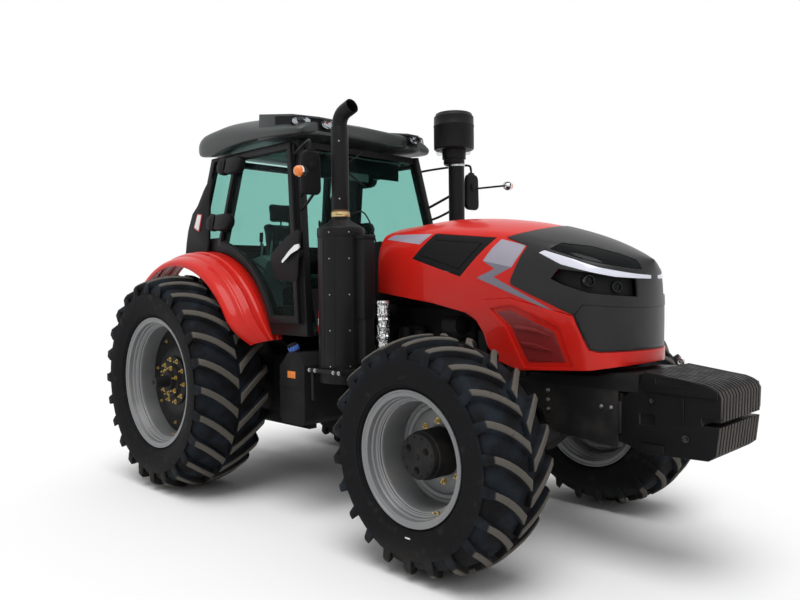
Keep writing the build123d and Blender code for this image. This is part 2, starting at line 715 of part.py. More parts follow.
def leaning_pane(x_low, z_low, x_high, z_high, inside):
    """A pane across the cab between two heights, trapezoid because the walls lean."""
    with BuildPart() as pane:
        top_half, low_half = wall_y(z_high, inside), wall_y(z_low, inside)
        length = hypot(x_high - x_low, z_high - z_low)
        normal = (z_high - z_low, 0, x_low - x_high)
        plane = Plane(origin=(rear_axle_x + x_low, 0, z_low), x_dir=(0, 1, 0), z_dir=normal)
        with BuildSketch(plane):
            with BuildLine():
                Polyline((-low_half, 0), (low_half, 0), (top_half, length), (-top_half, length), close=True)
            make_face()
        extrude(amount=glass_thickness)
    return pane.part


pane_inside = (frame_depth + door_seal) / cos(lean) + GAP + 1
save(leaning_pane(a_line(glass_foot_z) + pillar - 30, glass_foot_z, a_line(header_z) + pillar - 30, header_z - 3,
                  pane_inside), "windscreen")
save(leaning_pane(c_line(waist_z) - pillar + 26, waist_z + 53, c_line(header_z) - pillar + 26, header_z - 3,
                  pane_inside), "rear_window")

# Floor tub: floor, tunnel walls along the tyres, firewall, seat platform.
tub_y = 715
platform_z = 1560
tub_front = a_line(sill_low) + pillar - 6
wall_metal = 16
inner_sill = wall_y(floor_z, pane_inside)
with BuildPart() as cab_floor:
    add(block((560, tub_front), (-tub_y, tub_y), (floor_z - 40, floor_z)))
    add(block((arc_point(fender_arc, floor_z - 40) + 10, tub_front), (-inner_sill, inner_sill),
              (floor_z - 40, floor_z)))
    add(block((-280, 560), (-tub_y, tub_y), (platform_z - 20, platform_z)))
    add(block((545, 560), (-tub_y, tub_y), (floor_z - 40, platform_z)))
    for hand in (RIGHT, LEFT):
        with BuildSketch(side(hand * tub_y + (wall_metal if hand == LEFT else 0))):
            with BuildLine():
                angle_low = atan2(floor_z - 40 - rear_axle_z, arc_point(fender_arc - 1, floor_z - 40))
                radius = fender_arc - 1
                lowest = (arc_point(radius, floor_z - 40), floor_z - 40)
                rearmost = (-280, rear_axle_z + sqrt(radius**2 - 280**2))
                mid_angle = (angle_low + atan2(rearmost[1] - rear_axle_z, -280)) / 2
                ThreePointArc(lowest, (radius * cos(mid_angle), rear_axle_z + radius * sin(mid_angle)), rearmost)
                Polyline(rearmost, (-280, platform_z - 20), (545, platform_z - 20), (545, floor_z - 40), lowest)
            make_face()
        extrude(amount=wall_metal)
    add(block((-280, -262), (-tub_y, tub_y), (platform_z - 20, waist_z - 20 - GAP)))
    # firewall under the windscreen
    firewall = [(tub_front - 18, floor_z - 40), (tub_front, floor_z - 40), (a_line(glass_foot_z) + pillar - 22,
                glass_foot_z - GAP), (a_line(glass_foot_z) + pillar - 40, glass_foot_z - GAP)]
    add(slab(firewall, -inner_sill + 40, inner_sill - 40))
    # mounts down to the gearbox
    for station, foot, top in ((1300, gearbox_top + GAP, floor_z - 40), (150, housing_top + GAP, platform_z - 20)):
        for hand in (RIGHT, LEFT):
            add(block((station - 60, station + 60), sorted((hand * 110, hand * 210)), (foot, top)))
save(cab_floor.part, "cab_floor")

# ---------------------------------------------------------------- roof
roof_low = eave_z - 1 + GAP
# The roof's sections: bottom, side and shoulder out to the edge of the crown, heights above the roof's foot.
roof_sections = [
    # station, foot half, foot z, side half, side z, side top z, shoulder half, shoulder z, crown half, crown z
    (-215, 700, 28, 792, 62, 155, 750, 192, 560, 200),
    (60, 735, 0, 800, 30, 152, 745, 224, 600, 262),
    (300, 735, 0, 800, 25, 125, 735, 246, 600, 285),
    (800, 735, 0, 800, 14, 98, 702, 214, 560, 256),
    (1270, 735, 0, 796, 10, 62, 690, 150, 560, 212),
    (1385, 690, 42, 770, 50, 62, 690, 92, 560, 116),
]
with BuildPart() as cab_roof:
    for station, foot, foot_z, edge, edge_z, edge_top, shoulder, shoulder_z, crown, crown_z in roof_sections:
        half_section = [(foot, foot_z), (edge, edge_z), (edge, edge_top), (shoulder, shoulder_z), (crown, crown_z)]
        with BuildSketch(across(station)):
            with BuildLine():
                Polyline(*[(y, roof_low + z) for y, z in half_section],
                         *[(-y, roof_low + z) for y, z in reversed(half_section)], close=True)
            make_face()
    loft(ruled=True)
# lamp pods on the front corners, facing forward and outward under a top that falls to the front
pod_foot, pod_height = roof_low + 20, 240
with BuildPart() as pod:
    with BuildSketch(level(pod_foot)):
        with BuildLine():
            Polyline((840, 390), (1190, 380), (1352, 440), (1352, 560), (1215, 750), (840, 770), close=True)
        make_face()
    extrude(amount=pod_height, taper=10)
    add(slab([(700, pod_foot + 250), (1500, pod_foot + 132), (1500, pod_foot + 300), (700, pod_foot + 300)],
             300, 800), mode=Mode.SUBTRACT)

# Each lamp stands in a pocket of its own shape.
lamp_table = [
    # x, y, z, facing, half width, half height, length
    (1234, 651, roof_low + 94, 36, 60, 38, 38),
    (1310, 500, roof_low + 88, 8, 50, 36, 38),
    (-185, 600, roof_low + 100, 180, 52, 40, 60),
]
lamps, pockets = [], []
for x, y, z, facing, half_width, half_height, length in lamp_table:
    for hand in (RIGHT, LEFT):
        ahead = Vector(cos(radians(facing)), hand * sin(radians(facing)), 0)
        back = Vector(rear_axle_x + x, hand * y, z)
        for shapes, grow in ((lamps, 0), (pockets, GAP)):
            with BuildPart() as lamp:
                with BuildSketch(Plane(origin=back - ahead * grow, x_dir=(-ahead.Y, ahead.X, 0), z_dir=ahead)):
                    Ellipse(half_width + grow, half_height + grow)
                extrude(amount=length + 4 * grow)
            shapes.append(lamp.part)
with BuildPart() as roof:
    add(cab_roof.part)
    add(both_sides(pod.part))
    for pocket in pockets:
        add(pocket, mode=Mode.SUBTRACT)
save(roof.part, "cab_roof")
save(together(lamps), "work_lamps")

# ---------------------------------------------------------------- rear fenders
fender_inner_y = tub_y + wall_metal + GAP
fender_profile = [(fender_inner_y, fender_arc), (880, fender_arc), (980, fender_arc - 22), (1080, fender_arc - 58),
                  (1130, fender_arc - 88), (1142, fender_arc - 112)]
fender_front_angle, fender_rear_angle = 22, 158
axle_line = Axis((rear_axle_x, 0, rear_axle_z), (0, 1, 0))
with BuildPart() as fender_left:
    # drawn at its front end, on a plane turned down from upright, and swept back from there
    turn = radians(90 - fender_front_angle)
    tilted = Plane(origin=(rear_axle_x, 0, rear_axle_z), x_dir=(0, 1, 0), z_dir=(cos(turn), 0, -sin(turn)))
    with BuildSketch(tilted):
        with BuildLine():
            Polyline(*fender_profile, *[(y - 4, r - fender_metal) for y, r in reversed(fender_profile[1:])],
                     (fender_inner_y, fender_arc - fender_metal), close=True)
        make_face()
    revolve(axis=axle_line, revolution_arc=fender_front_angle - fender_rear_angle)
save(both_sides(fender_left.part), "rear_fenders")

# ---------------------------------------------------------------- hood
hinge_x, hinge_z = 1905, 2110
hood_skin = 10
hood_back = 1870
nose_tip, nose_shoulder_x, nose_half = 3872, 3600, 405
# Sections of the hood: station, crown height, then half width and height of the shoulder, waist and foot.
hood_sections = [
    # station, crown, shoulder half, shoulder z, waist half, waist z, foot half
    (hood_back, 2200, 380, 2110, 448, 1950, 440),
    (2420, 2232, 396, 2118, 460, 1950, 446),
    (3040, 2172, 400, 2060, 464, 1890, 430),
    (3500, 2052, 385, 1945, 452, 1790, 400),
    (3900, 1870, 330, 1790, 420, 1650, 375),
]
hood_foot_z = 1150
hood_side = [
    (hood_back, 1688), (2150, 1652), (2450, 1612), (2747, 1552), (2850, 1497), (2905, 1420), (2936, 1328),
    (3020, 1240), (3169, 1191), (3664, 1221), (3900, 1262), (3900, 2400), (hood_back, 2400),
]
mask_side = [
    (3055, 2050), (3228, 1988), (3129, 1771), (3132, 1742), (3580, 1554), (3669, 1348), (3718, 1336),
    (4000, 1341), (4000, 2400), (3400, 2400), (3292, 2150), (3238, 2112),
]
grille_side = [(2425, 2108), (2242, 1934), (2703, 1799), (2975, 2052)]
vent_side = [(3010, 1566), (3130, 1578), (3445, 1450), (3515, 1262), (3245, 1250), (3125, 1478)]
lens_side = [(3387, 1961), (3436, 1998), (3600, 1972), (3743, 1922), (3900, 1846), (3900, 1815), (3640, 1880)]
strip_side = [(3322, 1940), (3357, 1955), (3560, 1893), (3705, 1840), (3900, 1785), (3900, 1765), (3781, 1781),
              (3486, 1862)]
lens_in, strip_in = 30, 45     # how near the middle the lamps end


def hood_form(inset, back):
    """The hood's solid outline, drawn inwards by a sheet's thickness for its inside."""
    with BuildPart() as form:
        for station, crown, shoulder, shoulder_z, waist, waist_z_, foot in hood_sections:
            x = back if station == hood_back else station
            with BuildSketch(across(x)):
                with BuildLine():
                    ThreePointArc((-shoulder + inset, shoulder_z - inset * 0.6), (0, crown - inset),
                                  (shoulder - inset, shoulder_z - inset * 0.6))
                    Polyline((shoulder - inset, shoulder_z - inset * 0.6), (waist - inset, waist_z_),
                             (foot - inset, hood_foot_z), (-foot + inset, hood_foot_z), (-waist + inset, waist_z_),
                             (-shoulder + inset, shoulder_z - inset * 0.6))
                make_face()
        loft(ruled=True)
        with BuildSketch(level(hood_foot_z)):
            with BuildLine():
                ThreePointArc((nose_shoulder_x, -nose_half + inset), (nose_tip - inset, 0),
                              (nose_shoulder_x, nose_half - inset))
                Polyline((nose_shoulder_x, nose_half - inset), (3440, 700), (back, 700), (back, -700), (3440, -700),
                         (nose_shoulder_x, -nose_half + inset))
            make_face()
        extrude(amount=1300, mode=Mode.INTERSECT)
    return form.part


def prism(points, grow=0.0, half=600):
    """A side outline run right across the tractor, grown a little where a gap is wanted round it."""
    with BuildPart() as made:
        with BuildSketch(side(half)):
            with BuildLine():
                Polyline(*points, close=True)
            make_face()
            if grow:
                offset(amount=grow)
        extrude(amount=2 * half)
    return made.part


with BuildPart() as hood_shell:
    add(hood_form(0, hood_back))
    add(hood_form(hood_skin, hood_back - 20), mode=Mode.SUBTRACT)
    add(prism(hood_side), mode=Mode.INTERSECT)
lamp_zones = [(lens_side, lens_in), (strip_side, strip_in)]
with BuildPart() as hood_nose:
    add(hood_shell.part)
    add(prism(mask_side, -GAP), mode=Mode.INTERSECT)
    for outline, inner in lamp_zones:
        for hand in (RIGHT, LEFT):
            add(slab(outline, hand * inner, hand * 600), mode=Mode.SUBTRACT)
save(hood_nose.part, "hood_nose")
with BuildPart() as headlamps:
    add(hood_shell.part)
    with BuildPart(mode=Mode.PRIVATE) as openings:
        for outline, inner in lamp_zones:
            for hand in (RIGHT, LEFT):
                with BuildSketch(side(max(hand * (inner + GAP), hand * 600))):
                    with BuildLine():
                        Polyline(*outline, close=True)
                    make_face()
                    offset(amount=-GAP)
                extrude(amount=600 - inner - GAP)
    add(openings.part, mode=Mode.INTERSECT)
save(headlamps.part, "headlamps")
with BuildPart() as hood_grilles:
    add(hood_shell.part)
    with BuildPart(mode=Mode.PRIVATE) as windows:
        add(prism(grille_side, -GAP))
        add(prism(vent_side, -GAP))
    add(windows.part, mode=Mode.INTERSECT)
save(hood_grilles.part, "hood_grilles")
with BuildPart() as hood:
    add(hood_shell.part)
    for outline in (grille_side, vent_side, mask_side):
        add(prism(outline), mode=Mode.SUBTRACT)
    for hand in (RIGHT, LEFT):
        # hinge straps under the skin
        add(block((hinge_x - 22, hinge_x + 60), sorted((hand * 166, hand * 186)), (hinge_z - 22, 2180)))
    add(rod((hinge_x, -200, hinge_z), (hinge_x, 200, hinge_z), 12 + RUNNING_FIT), mode=Mode.SUBTRACT)
save(hood.part, "hood")

cowl_front = 1845
cowl_side = [(1560, bell_top + GAP), (cowl_front, bell_top + GAP), (cowl_front, 2060), (1790, 2085), (1600, 2060)]
save(together([
    slab(cowl_side, -350, 350),
    block((cowl_front - 10, hinge_x + 22), (-162, -142), (hinge_z - 70, hinge_z + 20)),
    block((cowl_front - 10, hinge_x + 22), (142, 162), (hinge_z - 70, hinge_z + 20)),
    rod((hinge_x, -190, hinge_z), (hinge_x, 190, hinge_z), 12),
]), "cowl")

# ---------------------------------------------------------------- exhaust, air intake, tanks and steps
can_x, can_y, can_radius = 1800, -750, 172
can_bottom, can_top = 1030, 2180
stack_radius = 56
stack_foot, stack_bend = 2285, 2925
bend_radius, bend_angle, stack_end = 100, 72, 80
shield_foot, shield_top, shield_radius = 2304, 2915, 65
with BuildPart() as cone:
    with BuildSketch(Plane(origin=(rear_axle_x + can_x, can_y, can_top))):
        Circle(can_radius)
    with BuildSketch(Plane(origin=(rear_axle_x + can_x, can_y, can_top + 60))):
        Circle(stack_radius + 22)
    loft()
save(together([
    rod((can_x, can_y, can_bottom), (can_x, can_y, can_top), can_radius),
    cone.part,
    rod((can_x, can_y, can_top + 60), (can_x, can_y, stack_foot - GAP), stack_radius - 2),
    block((can_x + 120, 2060), (-760, -640), (1500, 2105)),
    block((can_x + 120, 2055), (-750, -655), (1180, 1500)),
    block((1765, 1845), (can_y + 100, -300 - GAP), (1100, 1160)),
    rod((1980, -560, 1140), (1980, -560, 1560), 48),
    rod((1980, -620, 1540), (1980, -480, 1540), 46),
    block((1840, 1990), (-720, -600), (1130, 1230)),
]), "muffler")
with BuildPart() as exhaust_stack:
    foot = (rear_axle_x + can_x, can_y)
    with BuildLine() as route:
        stack_line = Line((foot[0], foot[1], stack_foot), (foot[0], foot[1], stack_bend))
        half_turn = radians(bend_angle / 2)
        ahead, rise = bend_radius * (1 - cos(2 * half_turn)), bend_radius * sin(2 * half_turn)
        bend = ThreePointArc(
            stack_line @ 1,
            (foot[0] + bend_radius * (1 - cos(half_turn)), foot[1], stack_bend + bend_radius * sin(half_turn)),
            (foot[0] + ahead, foot[1], stack_bend + rise))
        Line(bend @ 1, (foot[0] + ahead + stack_end * sin(2 * half_turn), foot[1],
                        stack_bend + rise + stack_end * cos(2 * half_turn)))
    with BuildSketch(Plane(origin=(foot[0], foot[1], stack_foot))):
        Circle(stack_radius)
        Circle(stack_radius - 5, mode=Mode.SUBTRACT)
    sweep()
    with BuildSketch(Plane(origin=(foot[0], foot[1], shield_foot))):
        Circle(shield_radius)
        Circle(stack_radius - 2, mode=Mode.SUBTRACT)
    extrude(amount=shield_top - shield_foot)
save(exhaust_stack.part, "exhaust_stack")

intake_x, intake_y = 1700, 650
with BuildPart() as drum:
    for low, radius_, height in ((2800, 90, 40), (2840, 105, 80), (2920, 176, 300), (3220, 158, 20)):
        with BuildSketch(Plane(origin=(rear_axle_x + intake_x, intake_y, low))):
            Circle(radius_)
        extrude(amount=height)
save(together([
    drum.part,
    rod((intake_x + 14, intake_y + 14, 1480), (intake_x + 14, intake_y + 14, 2805), 70),
    block((intake_x - 56, intake_x + 84), (350 + GAP, intake_y + 84), (1480, 1610)),
]), "air_intake")

tank_x, tank_y, tank_z = (1010, 1680), (260, 860), (610, 1090)
save(together([
    slab([(tank_x[0] + 60, tank_z[0]), (tank_x[1] - 60, tank_z[0]), (tank_x[1], tank_z[0] + 60),
          (tank_x[1], tank_z[1] - 60), (tank_x[1] - 60, tank_z[1]), (tank_x[0] + 60, tank_z[1]),
          (tank_x[0], tank_z[1] - 60), (tank_x[0], tank_z[0] + 60)], *tank_y),
    block((1100, 1600), (230 + GAP, tank_y[0] + 5), (700, 1000)),
    rod((1590, 760, tank_z[1]), (1590, 760, tank_z[1] + 60), 48),
]), "fuel_tank")
step_x = (1130, 1480)
with BuildPart() as steps:
    for side_x in step_x:
        add(block((side_x - 6, side_x + 6), (tank_y[1] + GAP, 1070), (430, 1130)))
    for tread_z in (440, 660, 880, 1100):
        add(block(step_x, (tank_y[1] + 60, 1070), (tread_z, tread_z + 28)))
save(steps.part, "steps")

urea_x, urea_y, urea_z = (1300, 1610), (-960, -560), (700, 1240)
save(together([
    slab([(urea_x[0] + 30, urea_z[0]), (urea_x[1] - 30, urea_z[0]), (urea_x[1], urea_z[0] + 40),
          (urea_x[1], urea_z[1] - 90), (urea_x[1] - 80, urea_z[1]), (urea_x[0] + 110, urea_z[1]),
          (urea_x[0], urea_z[1] - 110), (urea_x[0], urea_z[0] + 40)], *urea_y),
    rod((1400, -880, urea_z[1] - 10), (1385, -905, urea_z[1] + 62), 38),
    block((1340, 1580), (urea_y[1] - 5, -230 - GAP), (780, 960)),
]), "urea_tank")

# ---------------------------------------------------------------- mirrors, lamps and cab inside
mirror_x, mirror_y, mirror_z = 1664, 923, 2576
mirror_half, mirror_tall = 92, 162     # half its width and half its height
indicator_x, indicator_y = 1887, 1184
indicator_radius, indicator_half = 40, 44
arm_z = 2600                   # height of the mirror arms' elbows


def pillar_face(z):
    """The station of the front pillar's front face."""
    top, foot = a_line(eave_z) + pillar, a_line(sill_z) + pillar
    return top + (foot - top) * (eave_z - z) / (eave_z - sill_low)


pillar_front = pillar_face(2440)
arms = []
# the indicators' arms are set by hand, so the left one stands higher
for hand, indicator_z in ((RIGHT, 2538), (LEFT, 2633)):
    elbow = (mirror_x - 60, hand * (mirror_y - 40), arm_z)
    lamp_in = (indicator_x, hand * (indicator_y - indicator_half), indicator_z)
    arms.append(together([
        slab([(pillar_face(2420) + 0.4, 2420), (pillar_face(2420) + 20, 2420), (pillar_face(2460) + 20, 2460),
              (pillar_face(2460) + 0.4, 2460)], hand * 700, hand * 742),
        rod((pillar_front + 10, hand * 715, 2438), elbow, 13),
        rod(elbow, lamp_in, 12),
        block((mirror_x - 16, mirror_x + 26),
              sorted((hand * (mirror_y - mirror_half), hand * (mirror_y + mirror_half))),
              (mirror_z - mirror_tall, mirror_z + mirror_tall)),
        rod(elbow, (mirror_x, hand * mirror_y, arm_z), 12),
        rod(lamp_in, (indicator_x, hand * (indicator_y + indicator_half), indicator_z), indicator_radius),
    ]))
save(together(arms), "mirrors")

# black lamp towers stand on the fenders and lie over the rear pillars, leaning with the cab's side
tower_metal, lamp_metal = 25, 9
tower_side = [(-379, 1960), (-379, 2154), (-366, 2271), (-311, 2423), (-228, 2494), (-138, 2632), (-30, 2753),
              (9, 2708), (-27, 2553), (25, 2137), (25, 1960)]
tail_side = [(-199, 2415), (-117, 2404), (-146, 2243), (-244, 2284)]
with BuildPart() as tower:
    with BuildSketch(wall(-GAP)):
        with BuildLine():
            Polyline(*[(x, up(z)) for x, z in tower_side], close=True)
        make_face()
    extrude(amount=tower_metal)
    add(rod((0, -600, rear_axle_z), (0, -900, rear_axle_z), fender_arc + GAP), mode=Mode.SUBTRACT)
save(both_sides(tower.part), "lamp_towers")
with BuildPart() as tail:
    with BuildSketch(wall(-tower_metal - 2 * GAP)):
        with BuildLine():
            Polyline(*[(x, up(z)) for x, z in tail_side], close=True)
        make_face()
    extrude(amount=lamp_metal)
save(both_sides(tail.part), "tail_lamps")

seat_x = 240
save(together([
    block((seat_x - 60, seat_x + 260), (-170, 170), (platform_z + GAP, 1700)),
    slab([(seat_x - 120, 1700), (seat_x + 390, 1700), (seat_x + 400, 1800), (seat_x + 340, 1840),
          (seat_x - 60, 1810), (seat_x - 120, 1830)], -255, 255),
    slab([(seat_x - 120, 1760), (seat_x - 10, 1790), (seat_x - 110, 2360), (seat_x - 190, 2370),
          (seat_x - 220, 2300)], -240, 240),
    slab([(seat_x - 165, 2340), (seat_x - 115, 2350), (seat_x - 135, 2560), (seat_x - 205, 2550)], -140, 140),
    block((seat_x - 60, seat_x + 330), (-330, -268), (1990, 2050)),
    block((seat_x - 120, seat_x + 20), (-330, -235), (1900, 1990)),
    block((seat_x - 60, seat_x + 270), (268, 330), (1990, 2050)),
    block((seat_x - 120, seat_x + 20), (235, 330), (1900, 1990)),
]), "seat")
save(together([
    slab([(60, platform_z + GAP), (540, platform_z + GAP), (540, 1700), (700, 1960), (620, 2010), (60, 1900)],
         -640, -370),
    rod((560, -430, 1950), (600, -430, 2140), 9), rod((490, -470, 1940), (530, -470, 2120), 9),
    rod((560, -520, 1950), (600, -520, 2140), 9), rod((490, -570, 1940), (530, -570, 2120), 9),
]), "console")
wheel_x, wheel_z, wheel_tilt = 1000, 2130, 32
column = Vector(rear_axle_x + wheel_x, 0, wheel_z)
spin_axis = Vector(-sin(radians(wheel_tilt)), 0, cos(radians(wheel_tilt)))
save(together([
    slab([(1180, floor_z + GAP), (1400, floor_z + GAP), (1350, 1990), (1290, 2070), (1140, 2060), (1160, 1960)],
         -250, 250),
]), "dashboard")
with BuildPart() as steering_wheel:
    rim_plane = Plane(origin=column, x_dir=(0, 1, 0), z_dir=spin_axis)
    with BuildSketch(Plane(origin=column, x_dir=(0, 1, 0), z_dir=(spin_axis.Z, 0, -spin_axis.X))):
        with Locations((195, 0)):
            Circle(15)
    revolve(axis=Axis(column, spin_axis))
    with BuildSketch(rim_plane.offset(-12)):
        Rectangle(380, 34)
        with Locations((0, -95)):
            Rectangle(40, 190)
        Circle(46)
    extrude(amount=18)
    with BuildSketch(Plane(origin=column, z_dir=-spin_axis)):
        Circle(24)
    extrude(amount=165)
    add(slab([(1158.6, 1965), (1140.6, 2055), (1080, 2030), (1075, 1985)], -40, 40))
save(steering_wheel.part, "steering_wheel")

# ---------------------------------------------------------------- three-point linkage
arm_length, lift_arm_y = 330, 290
eye_x, eye_z = shaft_x - arm_length, shaft_z - 30
link_eye_x, link_eye_z, link_rear_y = -1150, 550, 430
link_y = 285
ball_radius, ball_bore = 46, 18.3
with BuildPart() as lift_arms:
    add(rod((shaft_x, -lift_arm_y - 20, shaft_z), (shaft_x, lift_arm_y + 20, shaft_z), shaft_radius))
    for hand in (RIGHT, LEFT):
        near, far = hand * (lift_arm_y - 20), hand * (lift_arm_y + 20)
        add(slab([(shaft_x + 60, shaft_z + 50), (shaft_x - 30, shaft_z + 72), (eye_x - 20, eye_z + 36),
                  (eye_x - 34, eye_z), (eye_x - 20, eye_z - 34), (shaft_x - 30, shaft_z - 70),
                  (shaft_x + 60, shaft_z - 50)], near, far))
        add(rod((eye_x, hand * (lift_arm_y + 18), eye_z), (eye_x, hand * (lift_arm_y + 62), eye_z), 15))
save(lift_arms.part, "lift_arms")
rod_y, rod_foot = lift_arm_y + 46, 600
with BuildPart() as lift_rods:
    for hand in (RIGHT, LEFT):
        with BuildSketch(side(hand * rod_y + 16)):
            with Locations((eye_x, eye_z)):
                Circle(34)
                Circle(15 + RUNNING_FIT, mode=Mode.SUBTRACT)
        extrude(amount=32)
        add(rod((eye_x, hand * rod_y, eye_z - 26), (eye_x, hand * rod_y, rod_foot + 20), 19))
        add(rod((eye_x, hand * rod_y, rod_foot + 160), (eye_x, hand * rod_y, eye_z - 170), 27))
        add(rod((eye_x, hand * (rod_y + 18), rod_foot), (eye_x, hand * (rod_y - 18), rod_foot), 28))
save(lift_rods.part, "lift_rods")


def link_bar(hand):
    """A lower link's flat bar, cranked outwards half way and rising to its ball end."""
    pivot_x, pivot_z = link_pivot
    with BuildPart() as bar:
        with BuildSketch(level(400)):
            with BuildLine():
                Polyline((pivot_x - 30, hand * (link_y - 16)), (-560, hand * (link_y + 4)),
                         (link_eye_x + 20, hand * (link_rear_y - 16)), (link_eye_x + 20, hand * (link_rear_y + 16)),
                         (-560, hand * (link_y + 40)), (pivot_x - 30, hand * (link_y + 16)), close=True)
            make_face()
        extrude(amount=300)
        add(prism([(pivot_x, pivot_z - 30), (pivot_x, pivot_z + 30), (-560, 560), (link_eye_x, link_eye_z + 26),
                   (link_eye_x, link_eye_z - 26), (-560, 488)]), mode=Mode.INTERSECT)
    return bar.part


with BuildPart() as lower_links:
    for hand in (RIGHT, LEFT):
        pivot_x, pivot_z = link_pivot
        with BuildSketch(side(hand * link_y + 22)):
            with Locations((pivot_x, pivot_z)):
                Circle(46)
        extrude(amount=44)
        with BuildSketch(side(hand * link_rear_y + 22)):
            with Locations((link_eye_x, link_eye_z)):
                Circle(ball_radius)
        extrude(amount=44)
        add(link_bar(hand))
    with BuildSketch(side(600)):
        with Locations((link_eye_x, link_eye_z)):
            Circle(ball_bore)
        with Locations(link_pivot):
            Circle(24 + RUNNING_FIT)
    extrude(amount=1200, mode=Mode.SUBTRACT)
save(lower_links.part, "lower_links")
with BuildPart() as top_link:
    add(rod((-390, 0, 932), (-900, 0, 980), 22))
    add(rod((-520, 0, 944), (-760, 0, 967), 31))
    for station, height, eye, half in ((-370, 930, 34, 30), (-900, 980, 38, 25)):
        with BuildSketch(side(half)):
            with Locations((station, height)):
                Circle(eye)
        extrude(amount=2 * half)
    with BuildSketch(side(60)):
        with Locations((-370, 930)):
            Circle(14 + 0.5)
        with Locations((-900, 980)):
            Circle(13)
    extrude(amount=120, mode=Mode.SUBTRACT)
save(top_link.part, "top_link")
drawbar_rear, hitch_bore = -760, 16.5
with BuildPart() as drawbar:
    add(block((drawbar_rear, 480), (-42, 42), (drawbar_top - 46, drawbar_top)))
    with BuildSketch(level(drawbar_top)):
        with Locations((drawbar_rear + 50, 0)):
            Circle(hitch_bore)
    extrude(amount=-46, mode=Mode.SUBTRACT)
save(drawbar.part, "drawbar")
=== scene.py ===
# %% [markdown]
# # A farm tractor, dressed piece by piece
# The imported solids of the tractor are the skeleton: they say where every wheel, panel and link is and
# which of them move together. Everything added here is the skin over that skeleton. Each step says what
# the piece is on a real tractor, how it could be made and why it is made this way.

# %% Load the frame
import json
import math
import random

import bmesh
import bpy
from mathutils import Matrix, Vector

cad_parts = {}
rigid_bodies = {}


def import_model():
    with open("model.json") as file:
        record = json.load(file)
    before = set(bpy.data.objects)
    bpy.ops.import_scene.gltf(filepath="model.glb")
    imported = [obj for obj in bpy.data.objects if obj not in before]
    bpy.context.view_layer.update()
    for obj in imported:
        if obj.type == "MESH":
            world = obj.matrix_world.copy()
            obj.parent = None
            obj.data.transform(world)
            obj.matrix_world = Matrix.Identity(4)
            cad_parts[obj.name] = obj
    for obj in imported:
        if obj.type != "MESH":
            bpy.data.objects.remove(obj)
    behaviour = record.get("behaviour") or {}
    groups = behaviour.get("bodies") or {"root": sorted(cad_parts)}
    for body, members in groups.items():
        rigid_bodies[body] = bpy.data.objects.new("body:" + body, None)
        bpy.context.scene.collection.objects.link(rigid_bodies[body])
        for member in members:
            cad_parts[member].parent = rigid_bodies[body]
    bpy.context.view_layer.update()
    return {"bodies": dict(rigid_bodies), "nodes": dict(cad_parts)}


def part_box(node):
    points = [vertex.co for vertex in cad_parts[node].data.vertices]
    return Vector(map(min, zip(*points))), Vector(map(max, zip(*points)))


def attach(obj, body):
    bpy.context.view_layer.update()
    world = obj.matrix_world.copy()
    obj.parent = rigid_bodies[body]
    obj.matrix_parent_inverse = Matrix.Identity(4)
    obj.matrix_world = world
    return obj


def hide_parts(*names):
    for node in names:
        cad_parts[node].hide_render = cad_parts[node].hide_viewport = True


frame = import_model()
RIGHT, LEFT = -1, 1
SIDES = (("right", RIGHT), ("left", LEFT))

# %% [markdown]
# ## Where things are
# A tractor is measured from its rear axle, because the wheels, the cab and the hitch are all set out from
# it. The frame gives each solid's box, so the two axles' places and heights are read from the rims, and a
# small function turns "so far ahead of the rear axle" into a place in the model.

# %% Read the axles
def middle(node):
    """The centre of a solid's box."""
    low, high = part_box(node)
    return (Vector(low) + Vector(high)) / 2


REAR = middle("rear_rim_left")
FRONT = middle("front_rim_left")
REAR_TRACK, FRONT_TRACK = REAR.y, FRONT.y


def at(x, y, z):
    """A point given from the rear axle's line, the centre plane and the ground."""
    return Vector((REAR.x + x, y, z))


print("wheelbase %.3f m" % (FRONT.x - REAR.x))

# %% [markdown]
# ## Shader maths as plain expressions
# A material that varies over a surface is a long chain of small nodes. Wrapping a socket in a class that
# overloads + - * / and comparison lets a mask be written as one line of arithmetic, and each operator adds
# its Math node behind the scenes.

# %% A class for sockets
class Signal:
    """An output socket that takes part in arithmetic."""

    def __init__(self, finish, socket):
        self.finish, self.socket = finish, socket

    def _math(self, operation, *others, first=None):
        values = [first if first is not None else self, *others]
        return self.finish.node("ShaderNodeMath", {"operation": operation}, values)

    def __add__(self, other):
        return self._math("ADD", other)

    __radd__ = __add__

    def __sub__(self, other):
        return self._math("SUBTRACT", other)

    def __rsub__(self, other):
        return self._math("SUBTRACT", self, first=other)

    def __mul__(self, other):
        return self._math("MULTIPLY", other)

    __rmul__ = __mul__

    def __truediv__(self, other):
        return self._math("DIVIDE", other)

    def __gt__(self, other):
        return self._math("GREATER_THAN", other)

    def __pow__(self, other):
        return self._math("POWER", other)

    def __abs__(self):
        return self._math("ABSOLUTE")

    def fade(self, low, high):
        """0 at low, 1 at high, smooth between."""
        return self.finish.node(
            "ShaderNodeMapRange", {"interpolation_type": "SMOOTHSTEP", "clamp": True},
            [self, low, high, 0.0, 1.0]
        )


